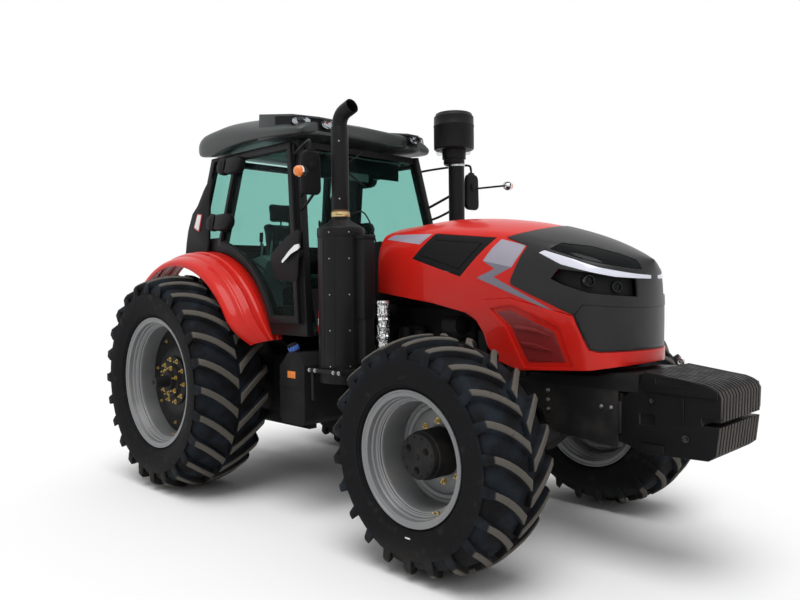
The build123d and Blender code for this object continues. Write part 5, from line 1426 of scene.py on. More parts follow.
def roof_ring(row):
    """The roof's section at one station, with soft corners."""
    x, middle_low, low, edge, edge_top, shoulder, shoulder_z, crown, crown_z = row
    half = [(0.0, middle_low), (0.60, middle_low), (edge - 0.025, low), (edge, low + 0.018),
            (edge, edge_top), (shoulder, shoulder_z), (crown, crown_z), (0.0, crown_z + 0.012)]
    half = cut_corners([Vector(p) for p in half], 2, 0.25)
    return [at(x, y, z) for y, z in half] + [at(x, -y, z) for y, z in reversed(half[1:-1])]


ROOF_STEPS = 40
body = face_out(loft([roof_ring(between(ROOF_STATIONS, i / ROOF_STEPS)) for i in range(ROOF_STEPS + 1)]))
POD = [(0.800, 0.360), (1.190, 0.368), (1.352, 0.430), (1.352, 0.570), (1.228, 0.752), (0.800, 0.786)]
POD_HEART = Vector((1.05, 0.565))
POD_TOP, POD_SLOPE = 3.170, 0.128 / 0.552 * 0.62


def inset(outline, amount):
    """The outline drawn towards the pod's heart."""
    return [tuple(Vector(p) + (POD_HEART - Vector(p)).normalized() * amount) for p in outline]


def pod_block(outline, low, drop, taper=0.0):
    """A block over the pod's outline whose top falls forwards."""
    foot = [at(x, -y, low) for x, y in outline]
    top = [at(x, -y, POD_TOP - POD_SLOPE * (x - 0.800) - drop) for x, y in inset(outline, taper)]
    return face_out(loft([foot, top]))


pod = pod_block(POD, 2.950, 0.0, 0.012)
mouth = pod_block([(0.985, 0.84), (1.42, 0.84), (1.42, 0.380), (1.10, 0.395)], 2.978, 0.017)
core = pod_block(inset(POD, 0.020), 2.90, -0.05)
carve(mouth, core)
carve(pod, mouth)
rounded(pod, 0.006, 3, 25)
panel = pod_block(inset(POD, 0.0195), 2.960, 0.010)
other = mirrored(pod, "pod_other")
done(join([body, pod, other]), "roof_moulding", ROOF_GREY, "root", ("cab_roof",), angle=38)
mirror_pair(panel, "roof_lamp_panel_right", BLACK_PLASTIC, angle=38)
print("roof")

# %% [markdown]
# Work lamps are a bright bowl behind a domed clear lens in a dark oval bezel. Each one is turned as if it
# were round and then squashed upright, which is how an oval reflector is drawn too.

# %% Work lamps
LAMP_HEAD = [
    # name, place, facing in degrees, half width, upright share
    ("corner", (1.236, 0.672, 3.054), 34, 0.086, 0.50), ("front", (1.318, 0.498, 3.036), 4, 0.064, 0.60),
    ("rear", (-0.180, 0.600, 3.035), 180, 0.056, 0.77),
]
BEZEL = [(0.0, 1.0), (0.038, 1.0), (0.044, 0.96), (0.044, 0.88), (0.036, 0.84), (0.0, 0.84)]
BOWL = [(0.010, 0.0), (0.010, 0.84), (0.036, 0.84), (0.026, 0.55), (0.018, 0.30), (0.015, 0.0)]
DOME = [(0.044, 0.0), (0.041, 0.42), (0.035, 0.78), (0.036, 0.85), (0.041, 0.82), (0.046, 0.45),
        (0.049, 0.0)]


def oval(profile, centre, axis, half_width, upright, steps=48, closed=False):
    """A turned piece, squashed upright about its centre."""
    made = lathe([(along, radius * half_width) for along, radius in profile], centre, axis, steps, closed)
    squash = Matrix.Scale(upright, 4, (0, 0, 1))
    made.data.transform(Matrix.Translation(centre) @ squash @ Matrix.Translation(-centre))
    return made


LAMP_PARTS = [("bezel", BEZEL, BLACK_PLASTIC), ("bowl", BOWL, REFLECTOR), ("lens", DOME, CLEAR_LENS)]
for name, (x, y, z), facing, half_width, upright in LAMP_HEAD:
    centre = at(x, -y, z)
    axis = Vector((math.cos(math.radians(facing)), -math.sin(math.radians(facing)), 0))
    for part, profile, finish in LAMP_PARTS:
        piece = oval(profile, centre, axis, half_width, upright, closed=part == "bezel")
        mirror_pair(piece, f"work_lamp_{name}_{part}_right", finish, "root", ("work_lamps",), angle=40)
print("work lamps", 2 * len(LAMP_HEAD))

# %% [markdown]
# ## Pressed and welded pieces
# Pillars, doors, castings and tanks already have their true shape as solids, but a solid's edge is perfectly
# sharp and no real edge is. A folded sheet has the bend's radius, a casting its fillets, and that thin bright
# line along each edge is what makes metal look like metal. Each of these pieces gets it by one bevel.

# %% Soft edges on the big pieces
SOFT = [
    # node, name, finish, radius, slot where it isn't the finish's own
    ("cab_frame", "cab_pillars", BLACK_PAINT, 0.006),
    ("lamp_towers", "tower_covers", BLACK_PLASTIC, 0.008),
    ("cowl", "cowl_cover", BLACK_PLASTIC, 0.020),
    ("fuel_tank", "fuel_tank_body", BLACK_PLASTIC, 0.030),
    ("urea_tank", "urea_tank_body", BLACK_PLASTIC, 0.028),
    ("steps", "step_ladder", BLACK_PAINT, 0.003),
    ("weight_carrier", "weight_bracket", CHASSIS, 0.006),
    ("front_frame", "front_frame_castings", CHASSIS, 0.008),
    ("front_axle", "front_axle_casting", CHASSIS, 0.008),
    ("gearbox", "gearbox_casting", CHASSIS, 0.010),
    ("engine", "engine_block", CHASSIS, 0.006),
    ("radiator", "cooler_pack", CHASSIS, 0.005, "black_metal"),
    ("drawbar", "drawbar_bar", CHASSIS, 0.003),
    ("console", "side_console", LINING, 0.018),
    ("dashboard", "dash_pod", BLACK_PLASTIC, 0.022),
    ("cab_floor", "floor_tub", BLACK_PLASTIC, 0.005, "console_grey"),
    ("knuckle_right", "knuckle_casting_right", CHASSIS, 0.006),
    ("knuckle_left", "knuckle_casting_left", CHASSIS, 0.006),
    ("lift_arms", "lift_arm_forgings", CHASSIS, 0.006),
    ("lower_links", "lower_link_forgings", CHASSIS, 0.003),
    ("door_right", "door_frame_right", BLACK_PAINT, 0.005),
    ("door_left", "door_frame_left", BLACK_PAINT, 0.005),
]
for node, name, finish, radius, *slot in SOFT:
    rides = node if node in frame["bodies"] else "root"
    done(softened(node, radius, 2, 28), name, finish, rides, (node,), *slot, angle=40)
print("softened", len(SOFT))

# %% [markdown]
# ## Doors, seals and hinges
# The doors are nearly all glass in a thin frame. Round covers hide the two hinges: one half is on the
# pillar, one on the door, with the barrel between them, so each half rides its own side. The latch sits on
# a black shield low on the front edge, with a chrome pull on it.

# %% Places on the cab's side
SILL, EAVE = Vector((0.0, -0.860, 1.430)), Vector((0.0, -0.700, 2.920))
LEAN = math.atan2(EAVE.y - SILL.y, EAVE.z - SILL.z)
WALL_OUT = Vector((0, -math.cos(LEAN), math.sin(LEAN)))


def on_wall(x, z, out=0.0):
    """A point on the right side's leaning plane, some way outside it."""
    share = (z - SILL.z) / (EAVE.z - SILL.z)
    return at(x, SILL.y + (EAVE.y - SILL.y) * share, z) + WALL_OUT * out


def wall_plate(outline, out, thickness, bevel=0.0):
    """A plate that lies on the leaning side wall."""
    return plate([on_wall(x, z, out) for x, z in outline], WALL_OUT, thickness, bevel)


def round_outline(points, radius, steps=5):
    """An outline with its corners rounded off by arcs."""
    made = []
    for before, point, after in zip(points[-1:] + points[:-1], points, points[1:] + points[:1]):
        a, p, b = Vector(before), Vector(point), Vector(after)
        to_a, to_b = (a - p), (b - p)
        cut = min(radius, to_a.length * 0.45, to_b.length * 0.45)
        start, end = p + to_a.normalized() * cut, p + to_b.normalized() * cut
        for step in range(steps + 1):
            t = step / steps
            made.append(tuple(start * (1 - t) ** 2 + p * 2 * t * (1 - t) + end * t ** 2))
    return made


HINGES = [(0.336, 2.790), (0.233, 2.300)]


def capsule(x, z, near, far, half, flat_end):
    """Half of a hinge cover: a rounded end on one side, a flat joint on the other."""
    around, steps = [], 8
    ends = ((near, math.pi / 2, flat_end != "near"), (far, -math.pi / 2, flat_end != "far"))
    for end, start, curved in ends:
        if curved:
            inward = half if end == near else -half
            for step in range(steps + 1):
                a = start + math.pi * step / steps
                around.append((x + end + inward + half * math.cos(a), z + half * math.sin(a)))
        elif end == near:
            around += [(x + near, z + half), (x + near, z - half)]
        else:
            around += [(x + far, z - half), (x + far, z + half)]
    return wall_plate(around, 0.020, 0.078, 0.022)


for index, (x, z) in enumerate(HINGES):
    rear_half = capsule(x, z, -0.165, -0.042, 0.070, "far")
    front_half = capsule(x, z, -0.020, 0.215, 0.072, "near")
    modify(front_half, "BEVEL", width=0.004, segments=2, limit_method="ANGLE", angle_limit=math.radians(30))
    mirror_pair(rear_half, f"hinge_cover_pillar_{index + 1}_right", BLACK_PLASTIC, angle=50)
    mirror_pair(front_half, f"hinge_cover_door_{index + 1}_right", BLACK_PLASTIC, "door_right", angle=50)
print("hinge covers", len(HINGES))

# %% Latch shields, pulls and door seals
shield = wall_plate(round_outline([(1.385, 2.190), (1.235, 2.140), (1.030, 2.000), (1.025, 1.950),
                                   (1.135, 1.790), (1.402, 1.765)], 0.05), 0.0165, 0.020, 0.004)
mirror_pair(shield, "latch_shield_right", BLACK_PLASTIC, "door_right", angle=45)
pull = wall_plate(round_outline([(1.215, 1.935), (1.225, 1.915), (1.330, 1.985), (1.430, 2.020),
                                 (1.425, 2.062), (1.370, 2.056), (1.300, 2.010)], 0.012), 0.052, 0.012, 0.004)
CHROME = plain_finish("chrome", (0.80, 0.81, 0.82), 0.10, metallic=1.0, most=0.0)
mirror_pair(pull, "door_pull_right", CHROME, "door_right", angle=45)
posts = [bar(on_wall(x, z, 0.034), on_wall(x, z, 0.056), 0.009, 16)
         for x, z in ((1.245, 1.940), (1.400, 2.038))]
mirror_pair(join(posts), "door_pull_posts_right", CHROME, "door_right", angle=45)


def arc_edge(radius, low, high, steps=14):
    """Points of the door's lower rear edge, which follows a circle round the rear axle."""
    start = math.asin((low - REAR.z) / radius)
    end = math.asin((high - REAR.z) / radius)
    angles = [start + (end - start) * i / steps for i in range(steps + 1)]
    return [(radius * math.cos(a), REAR.z + radius * math.sin(a)) for a in angles]


DOOR_LOW, DOOR_HIGH, DOOR_ARC = 1.455, 2.885, 1.195
# the front and rear edges lean: x at the foot, run forwards, height of the foot, rise
FRONT_FOOT, FRONT_RUN, FRONT_LOW, FRONT_RISE = 1.462, 1.165 - 1.462, 1.430, 1.490
REAR_FOOT, REAR_RUN, REAR_LOW, REAR_RISE = 0.205, 0.173, 2.095, 0.825


def door_edge(inward):
    """The door's outline, drawn inwards."""
    low, high = DOOR_LOW + inward, DOOR_HIGH - inward
    radius = DOOR_ARC + inward
    arc_top = REAR.z + math.sqrt(radius ** 2 - (REAR_FOOT + inward) ** 2)

    def front(z):
        return FRONT_FOOT + FRONT_RUN * (z - FRONT_LOW) / FRONT_RISE - inward

    def rear(z):
        return REAR_FOOT + REAR_RUN * (z - REAR_LOW) / REAR_RISE + inward

    return [*arc_edge(radius, low, arc_top), (rear(high), high), (front(high), high), (front(low), low)]


def ring_plate(outer, inner, out, thickness):
    """A flat ring on the wall between two outlines."""
    ring = wall_plate(outer, out, thickness)
    return carve(ring, wall_plate(inner, out - 0.004, thickness + 0.008))


seal = ring_plate(door_edge(0.040), door_edge(0.056), 0.0165, 0.004)
mirror_pair(seal, "door_glass_seal_right", SEAL, "door_right", angle=45)
lip = ring_plate(door_edge(-0.006), door_edge(0.012), -0.006, 0.005)
mirror_pair(lip, "door_frame_seal_right", SEAL, angle=45)
stay = bar(on_wall(0.52, 2.02, -0.05), on_wall(1.16, 1.74, -0.05), 0.008, 12)
mirror_pair(stay, "door_gas_strut_right", BLACK_PAINT, angle=45)
print("doors dressed")

# %% [markdown]
# ## Mirrors, indicators and tower lamps
# Mirrors stand forward of the pillars on bent tubes, far enough out to see past the wheels. Each head is a
# rounded black shell with the glass facing back. The indicators hang further out, half orange and half
# clear, so that they show both ways.

# %% Mirrors
MIRROR = at(1.669, -0.923, 2.576)


def mirror_outline(half_wide, half_tall, radius, x):
    """A rounded upright rectangle across the tractor, narrower at the top."""
    corners = [(-half_wide, -half_tall), (half_wide, -half_tall), (half_wide * 0.90, half_tall),
               (-half_wide * 0.90, half_tall)]
    return [MIRROR + Vector((x, y, z)) for y, z in round_outline(corners, radius, 7)]


head = plate(mirror_outline(0.092, 0.162, 0.058, -0.020), (1, 0, 0), 0.041)
rounded(head, 0.018, 5, 40)
pane = plate(mirror_outline(0.078, 0.146, 0.050, -0.0225), (1, 0, 0), 0.003, 0.0008)
back_clip = lathe([(0.0, 0.0), (0.0, 0.034), (0.008, 0.034), (0.012, 0.026), (0.012, 0.0)],
                  MIRROR + Vector((0.0205, 0, 0.045)), (1, 0, 0), 24)
top_clamp = box(MIRROR + Vector((-0.014, -0.030, 0.150)), MIRROR + Vector((0.014, 0.030, 0.176)), 0.006)
mirror_pair(join([head, back_clip, top_clamp]), "mirror_shell_right", BLACK_PLASTIC, "root", ("mirrors",),
            angle=45)
mirror_pair(pane, "mirror_glass_right", CHROME)
for name, hand, indicator_z in (("right", RIGHT, 2.538), ("left", LEFT, 2.633)):
    elbow = at(1.604, hand * 0.883, 2.600)
    lamp_in = at(1.887, hand * 1.140, indicator_z)
    tubes = [
        pipe([at(1.290, hand * 0.722, 2.438), at(1.36, hand * 0.755, 2.474), at(1.56, hand * 0.862, 2.588),
              elbow, at(1.650, hand * 0.910, 2.604)], 0.012, 8, 16),
        pipe([at(1.56, hand * 0.858, 2.585), elbow,
              at(1.74, hand * 1.010, 2.600 + (indicator_z - 2.6) * 0.5), lamp_in], 0.009, 8, 12),
        bar(at(1.262, hand * 0.716, 2.415), at(1.262, hand * 0.716, 2.462), 0.024, 20, 0.005),
    ]
    done(join(tubes), f"mirror_arm_{name}", BLACK_PAINT, angle=45)
    out = Vector((0, hand, 0))
    heart = at(1.887, hand * 1.184, indicator_z)
    lens = lathe([(-0.044, 0.0), (-0.044, 0.024), (-0.037, 0.034), (-0.006, 0.039), (-0.006, 0.0)], heart,
                 out, 32)
    amber = lathe([(0.004, 0.0), (0.004, 0.039), (0.026, 0.036), (0.039, 0.026), (0.044, 0.012),
                   (0.044, 0.0)], heart, out, 32)
    ring = lathe([(-0.007, 0.0), (-0.007, 0.040), (0.005, 0.040), (0.005, 0.0)], heart, out, 32)
    lamp_bowl = lathe([(-0.012, 0.0), (-0.030, 0.010), (-0.012, 0.030)], heart, out, 24)
    done(face_out(lens), f"indicator_clear_{name}", CLEAR_LENS, "root", ("mirrors",), angle=50)
    done(face_out(amber), f"indicator_amber_{name}", AMBER, "root", ("mirrors",), angle=50)
    done(join([ring, lamp_bowl]), f"indicator_ring_{name}", CHROME, angle=50)
print("mirrors")

# %% Tail lamps on the towers
TAIL = [(-0.199, 2.415), (-0.117, 2.404), (-0.146, 2.243), (-0.244, 2.284)]
edge = wall_plate(round_outline(TAIL, 0.014), 0.0258, 0.008, 0.002)
mirror_pair(edge, "tail_lamp_red_right", RED_LENS, "root", ("tail_lamps",), "lamp_red", 45)
clear_part = wall_plate(round_outline(grown(TAIL, -0.011), 0.012), 0.0325, 0.003, 0.001)
mirror_pair(clear_part, "tail_lamp_clear_right", WHITE_TRIM, "root", (), "lamp_glass", 45)
print("tail lamps")

# %% [markdown]
# Under the nose the frame is closed by a folded cover, which keeps mud from the radiator.

# %% Cover under the nose
cover = plate([at(x, -0.296, z) for x, z in ((3.020, 1.100), (3.020, 1.166), (3.640, 1.178), (3.740, 1.206),
                                              (3.925, 1.214), (3.925, 1.100))], (0, 1, 0), 0.592, 0.006)
done(cover, "nose_undercover", BLACK_PAINT, angle=40)
tow_eye = lathe(wire(0.0, 0.020, 0.007), at(3.905, 0.300, 1.235), (0, 1, 0), 24, closed=True)
rounded(tow_eye, 0.001, 1, 60)
done(tow_eye, "nose_catch_ring", STEEL, angle=50)
frame_bolts = [bolt(at(x, -0.296, z), (0, -1, 0), 0.010, 0.005)
               for x, z in ((3.300, 1.06), (3.300, 1.00), (3.300, 0.94), (3.680, 1.00), (3.745, 1.00))]
mirror_pair(join(frame_bolts), "frame_bolts_right", STEEL, angle=40)
print("cover under the nose")

# %% [markdown]
# ## Front weights
# Fourteen cast plates hang side by side on a bracket and are clamped by two through bolts. Their noses are
# rubbed and dusty and their edges catch the light. Each outer one has a raised band, a thin rib, a small
# plate and two shallow recesses.

# %% Weight plates
def cast_paint(name):
    """Black paint with brown-grey road dust on whatever faces forwards, and painted sheen: lighter, glossier
    grey patches on upward faces.
    """
    finish = Finish(name)
    facing_ahead, _, facing_up = finish.xyz(finish.node("ShaderNodeNewGeometry", output="Normal"))
    streaks = finish.noise(9.0, 5.0, stretch=(1.0, 5.0, 0.6)).fade(0.30, 0.75)
    front = facing_ahead.fade(0.45, 0.95) * (streaks * 0.5 + 0.5)
    # painted sheen: patches on upward faces turn lighter grey and glossier, standing in for the sky's
    # reflection
    top = facing_up.fade(0.6, 1.0) * finish.noise(14.0, 4.0).fade(0.35, 0.7)
    base = finish.mix(front * 0.9, (0.007, 0.007, 0.0075), (0.075, 0.066, 0.056))
    base = finish.mix(top * 0.35, base, (0.045, 0.045, 0.047))
    finish.set(base_color=base, roughness=0.52 - top * 0.12, specular_ior_level=0.09)
    return finish.set(normal=finish.bump(finish.noise(260.0, 3.0), 0.0003))


WEIGHT_PAINT = cast_paint("weight paint")
plates = softened("front_weights", 0.0035, 2, 28)
FACE_Y = 0.301
for hand in (RIGHT, LEFT):
    for x0, x1, z0, z1, depth in ((3.925, 4.024, 0.918, 0.987, 0.022), (4.290, 4.420, 0.966, 1.004, 0.018)):
        near, far = sorted((hand * (FACE_Y + 0.02), hand * (FACE_Y - depth)))
        carve(plates, box(at(x0, near, z0), at(x1, far, z1), 0.004, 2))
done(plates, "weight_plates", WEIGHT_PAINT, "root", ("front_weights",), angle=40)
BAND = [(3.930, 1.150), (3.965, 1.118), (4.386, 1.112), (4.384, 1.150), (4.348, 1.171), (4.310, 1.184),
        (3.962, 1.229)]
band = plate([at(x, -FACE_Y + 0.001, z) for x, z in BAND], (0, -1, 0), 0.008, 0.003)
carve(band, box(at(4.031, -FACE_Y - 0.02, 1.166), at(4.235, -FACE_Y - 0.0035, 1.204), 0.002))
rib = box(at(4.180, -FACE_Y - 0.004, 0.955), at(4.196, -FACE_Y + 0.001, 1.098), 0.002)
name_plate = box(at(3.935, -FACE_Y - 0.0025, 0.769), at(4.077, -FACE_Y + 0.001, 0.813), 0.001)
mirror_pair(join([band, rib, name_plate]), "weight_band_right", WEIGHT_PAINT, angle=40)
CLAMPS = ((4.005, 1.066), (4.205, 0.873))
clamp_nuts = [bolt(at(x, -FACE_Y, z), (0, -1, 0), 0.014, 0.009) for x, z in CLAMPS]
mirror_pair(join(clamp_nuts), "weight_nuts_right", BLACK_GLOSS, "root", (), "black_metal", 40)
clamp_studs = [bolt(at(x, -FACE_Y - 0.008, z), (0, -1, 0), 0.0075, 0.007) for x, z in CLAMPS]
mirror_pair(join(clamp_studs), "weight_bolts_right", BOLT)
print("weights")

# %% [markdown]
# ## Pre-cleaner, tanks and pipes
# The engine breathes through a drum on a tall pipe, where spinning air throws dust out before the filter.
# The tank for the blue fluid has a cap that can't be mistaken for the fuel's, and is strapped under the cab.

# %% Pre-cleaner
CLEANER_X, CLEANER_Y, CLEANER_RIM, BOWL_RING = 1.700, 0.650, 0.1785, 0.135
CLEANER, THROAT = at(CLEANER_X, CLEANER_Y, 0), at(1.714, 0.664, 0)
drum = lathe([
    (2.790, 0.071), (2.790, 0.084), (2.800, 0.092), (2.838, 0.092), (2.842, 0.103), (2.916, 0.105),
    (2.922, 0.168), (2.930, 0.1755), (3.118, 0.1755), (3.122, 0.1785), (3.134, 0.1785), (3.138, 0.1755),
    (3.206, 0.174), (3.214, 0.166), (3.234, 0.158), (3.2395, 0.148), (3.2395, 0.0), (2.900, 0.0),
    (2.900, 0.071),
], CLEANER, (0, 0, 1), 96)
rib_low = at(CLEANER_X, CLEANER_Y + 0.170, 2.945)
rib_high = at(CLEANER_X + 0.004, CLEANER_Y + CLEANER_RIM, 3.11)
ribs = [turned(box(rib_low, rib_high, 0.001), angle, "Z", CLEANER) for angle in (0.9, 2.5, 3.4, 4.4, 5.2)]
throat = lathe([(1.60, 0.0), (1.60, 0.0695), (2.806, 0.0695), (2.806, 0.0)], THROAT, (0, 0, 1), 64)
foot = box(at(1.646, 0.352, 1.482), at(1.782, 0.732, 1.608), 0.018, 3)
done(join([drum, *ribs, throat, foot]), "pre_cleaner", BLACK_PAINT, "root", ("air_intake",), angle=40)
intake_collar = lathe([(2.774, 0.0695), (2.774, 0.0745), (2.794, 0.0745), (2.794, 0.0695)],
                      THROAT, (0, 0, 1), 64, closed=True)
done(intake_collar, "intake_clamp", STEEL)
bowls = []
for angle in (0.2, 2.2, 4.2):
    spot = at(CLEANER_X + BOWL_RING * math.cos(angle), CLEANER_Y + BOWL_RING * math.sin(angle), 0)
    bowls.append(lathe([(2.868, 0.0), (2.870, 0.018), (2.882, 0.026), (2.922, 0.028), (2.922, 0.0)], spot,
                       (0, 0, 1), 24))
done(join(bowls), "dust_bowls", CLEAR_LENS, angle=40)
print("pre-cleaner")

# %% Tank cap, labels, brackets and the wrapped pipe
CAP_FOOT, CAP_TOP = at(1.402, -0.876, 1.222), at(1.385, -0.905, 1.302)
cap_axis = (CAP_TOP - CAP_FOOT).normalized()
neck = bar(CAP_FOOT - cap_axis * 0.02, CAP_FOOT + cap_axis * 0.030, 0.031, 32, 0.003)
done(neck, "urea_neck", BLACK_PLASTIC, angle=40)
lid = lathe([(0.026, 0.0), (0.026, 0.036), (0.030, 0.040), (0.066, 0.038), (0.076, 0.032), (0.080, 0.020),
             (0.080, 0.0)], CAP_FOOT, cap_axis, 48)
grips, GRIPS = [], 10
for index in range(GRIPS):
    out = Matrix.Rotation(index * 2 * math.pi / GRIPS, 4, cap_axis) @ cap_axis.orthogonal().normalized()
    low, high = out * 0.038 + cap_axis * 0.030, out * 0.037 + cap_axis * 0.068
    grips.append(bar(CAP_FOOT + low, CAP_FOOT + high, 0.006, 10, 0.002))
done(join([lid, *grips]), "urea_cap", BLUE_CAP, angle=40)
TANK_Y = -0.960
done(box(at(1.404, TANK_Y - 0.0012, 1.048), at(1.500, TANK_Y + 0.001, 1.100), 0.0005), "urea_label",
     ORANGE_LABEL, "root")
straps = [box(at(1.300, TANK_Y - 0.004, 0.985), at(1.610, TANK_Y + 0.004, 1.003), 0.002),
          box(at(1.300, TANK_Y - 0.003, 0.965), at(1.610, TANK_Y + 0.004, 0.972), 0.001)]
done(join(straps), "urea_seam", BLACK_PLASTIC)
rail = box(at(1.640, -0.945, 1.108), at(2.010, -0.928, 1.140), 0.003)
hanger = [box(at(1.655, -0.935, 0.90), at(1.685, -0.915, 1.12), 0.003),
          box(at(1.985, -0.93, 1.10), at(2.000, -0.62, 1.14), 0.003)]
done(join([rail, *hanger]), "silencer_bracket", BLACK_PAINT)
heads = [bolt(at(x, -0.945, 1.124), (0, -1, 0), 0.010, 0.004) for x in (1.655, 1.72, 1.93, 1.99)]
done(join(heads), "silencer_bracket_bolts", STEEL)
label = [box(at(1.655, -0.858, 1.394 + 0.056 * i), at(1.690, -0.853, 1.445 + 0.056 * i), 0.0005)
         for i in range(3)]
for piece, (name, finish) in zip(label, (("low", RED_LENS), ("middle", WHITE_TRIM), ("top", RED_LENS))):
    done(piece, f"silencer_label_{name}", finish, "root")
foil = Finish("crumpled foil")
creases = foil.noise(46.0, 4.0)
FOIL = foil.set(base_color=(0.62, 0.63, 0.64), metallic=1.0, roughness=0.22,
                normal=foil.bump(creases, 0.012))
rng = random.Random(7)
WRAPPED_AT, WRAPPED_LOW, WRAPPED_HIGH, ROUNDS = at(2.035, -0.560, 0), 1.140, 1.630, 28
profile = []
for step in range(ROUNDS + 1):
    height = WRAPPED_LOW + (WRAPPED_HIGH - WRAPPED_LOW) * step / ROUNDS
    profile.append((height, 0.055 + rng.uniform(-0.005, 0.005)))
wrapped = lathe(profile + [(WRAPPED_HIGH, 0.0)], WRAPPED_AT, (0, 0, 1), 40)
for vertex in wrapped.data.vertices:
    away = Vector((vertex.co.x - WRAPPED_AT.x, vertex.co.y - WRAPPED_AT.y, 0))
    if away.length > 0.03:
        vertex.co += away.normalized() * rng.uniform(-0.0035, 0.0035)
done(wrapped, "foil_wrapped_pipe", FOIL, "root", ("muffler",), angle=20)
outlet = pipe([at(2.035, -0.560, 1.16), at(2.035, -0.560, 1.10), at(2.01, -0.54, 1.06),
               at(1.95, -0.45, 1.05), at(1.90, -0.33, 1.05)], 0.040, 10, 24)
cross = bar(at(1.960, -0.600, 1.560), at(1.960, -0.36, 1.560), 0.040, 32, 0.004)
done(join([outlet, cross]), "exhaust_elbow", CHASSIS, "root", (), "black_metal", 40)
sensor = pipe([at(1.855, -0.690, 2.268), at(1.90, -0.665, 2.292), at(1.945, -0.65, 2.285),
               at(1.982, -0.63, 2.22), at(2.002, -0.61, 2.14), at(2.008, -0.59, 2.06)], 0.006, 10, 12)
done(sensor, "sensor_lead", SEAL, angle=40)
print("tank and pipes")

# %% [markdown]
# ## Inside the cab
# Through the green glass one sees a seat, the levers beside it and a steering wheel. The seat's pads are
# stuffed fabric: a block that is filled out by the cloth solver with a little pressure gives their crowned
# faces and soft corners, which no bevel does. Channels are pressed into them afterwards.

# %% Seat pads
cloth_finish = Finish("black woven seat cloth")
weave = (cloth_finish.noise(900.0, 2.0, stretch=(1.0, 1.0, 0.4))
         + cloth_finish.noise(900.0, 2.0, stretch=(0.4, 1.0, 1.0)))
blotches = cloth_finish.mix(cloth_finish.noise(60.0, 3.0), (0.016, 0.017, 0.019), (0.030, 0.031, 0.034))
FABRIC = cloth_finish.set(base_color=blotches, roughness=0.88, specular_ior_level=0.2, sheen_weight=0.3,
                          normal=cloth_finish.bump(weave, 0.0006))
PAD_VOXEL, PAD_PRESSURE, PAD_FRAMES, PAD_CAP = 0.008, 4.0, 20, 0.024


def stuffed(block):
    """Fills a block out with cloth under pressure; no point moves further than the cap."""
    modify(block, "REMESH", mode="VOXEL", voxel_size=PAD_VOXEL)
    before = [vertex.co.copy() for vertex in block.data.vertices]
    only(block)
    cloth = block.modifiers.new("cloth", "CLOTH")
    cloth.settings.use_pressure = True
    cloth.settings.uniform_pressure_force = PAD_PRESSURE
    cloth.settings.effector_weights.gravity = 0.0
    cloth.point_cache.frame_start, cloth.point_cache.frame_end = 1, PAD_FRAMES
    for step in range(1, PAD_FRAMES + 1):
        bpy.context.scene.frame_set(step)
    bpy.ops.object.modifier_apply(modifier=cloth.name)
    bpy.context.scene.frame_set(1)
    for vertex, start in zip(block.data.vertices, before):
        move = vertex.co - start
        if move.length > PAD_CAP:
            vertex.co = start + move.normalized() * PAD_CAP
    return modify(block, "SUBSURF", levels=1, render_levels=1)


def channel(pad, heart, along, place, inward, width=0.012, depth=0.007):
    """Presses a sewn channel into a pad where one coordinate is near a value."""
    for vertex in pad.data.vertices:
        gap = abs(vertex.co[along] - place)
        if gap < width * 2:
            press = depth * math.exp(-(gap / width) ** 2)
            vertex.co[inward] -= math.copysign(press, vertex.co[inward] - heart[inward])


PADS = [
    # name, low corner, high corner, turn about the tractor's width in degrees, channels
    ("seat_cushion", (0.135, -0.240, 1.715), (0.625, 0.240, 1.825), 0, ((0, 0.34), (0, 0.50))),
    ("seat_back", (0.060, -0.225, 1.800), (0.165, 0.225, 2.355), -6, ((2, 1.97), (2, 2.15))),
    ("seat_headrest", (0.050, -0.130, 2.370), (0.120, 0.130, 2.545), -6, ()),
]
for name, low, high, lean, channels in PADS:
    block = box(at(*low), at(*high), 0.030, 4)
    heart = (at(*low) + at(*high)) / 2
    stuffed(block)
    for along, place in channels:
        channel(block, heart, along, place + (REAR.x if along == 0 else 0), 2 if along == 0 else 0)
    turned(block, math.radians(lean), "Y", at(0.12, 0, 1.80) if lean else heart)
    done(block, name, FABRIC, "root", ("seat",), angle=60)
base = box(at(0.20, -0.165, 1.562), at(0.49, 0.165, 1.70), 0.020, 3)
folds = [(1.575 + 0.024 * i + 0.006 * (i % 2), 0.150 + 0.014 * (i % 2)) for i in range(6)]
skirt = lathe(folds + [(1.70, 0.0), (1.57, 0.0)], at(0.345, 0, 0), (0, 0, 1), 40)
armrests = [box(at(0.19, y - 0.028, 1.995), at(x, y + 0.028, 2.045), 0.022, 4)
            for y, x in ((-0.300, 0.565), (0.300, 0.505))]
posts = [bar(at(0.13, y, 1.90), at(0.21, y, 2.012), 0.016, 16, 0.003) for y in (-0.300, 0.300)]
stalks = [bar(at(0.085, y, 2.30), at(0.080, y, 2.42), 0.008, 12) for y in (-0.05, 0.05)]
done(join([base, skirt, *armrests, *posts, *stalks]), "seat_frame", BLACK_PLASTIC, "root", ("seat",),
     angle=40)
print("seat")

# %% Steering wheel, levers and roof lining
WHEEL_AT = at(1.000, 0, 2.130)
WHEEL_LEAN = math.radians(32)
WHEEL_AXIS = Vector((-math.sin(WHEEL_LEAN), 0, math.cos(WHEEL_LEAN)))
wheel_rim = lathe(wire(0.0, 0.181, 0.014, 12), WHEEL_AT, WHEEL_AXIS, 72, closed=True)
boss = lathe([(-0.050, 0.0), (-0.050, 0.030), (-0.020, 0.052), (-0.006, 0.056), (0.004, 0.044),
              (0.006, 0.0)], WHEEL_AT, WHEEL_AXIS, 40)
wheel_up = WHEEL_AXIS.cross(Vector((0, 1, 0))).normalized()
spokes = []
for angle in (0.5, math.pi - 0.5, -math.pi / 2):
    out = Vector((0, math.cos(angle), 0)) + wheel_up * -math.sin(angle)
    spokes.append(bar(WHEEL_AT + out * 0.04 - WHEEL_AXIS * 0.012, WHEEL_AT + out * 0.180, 0.011, 12))
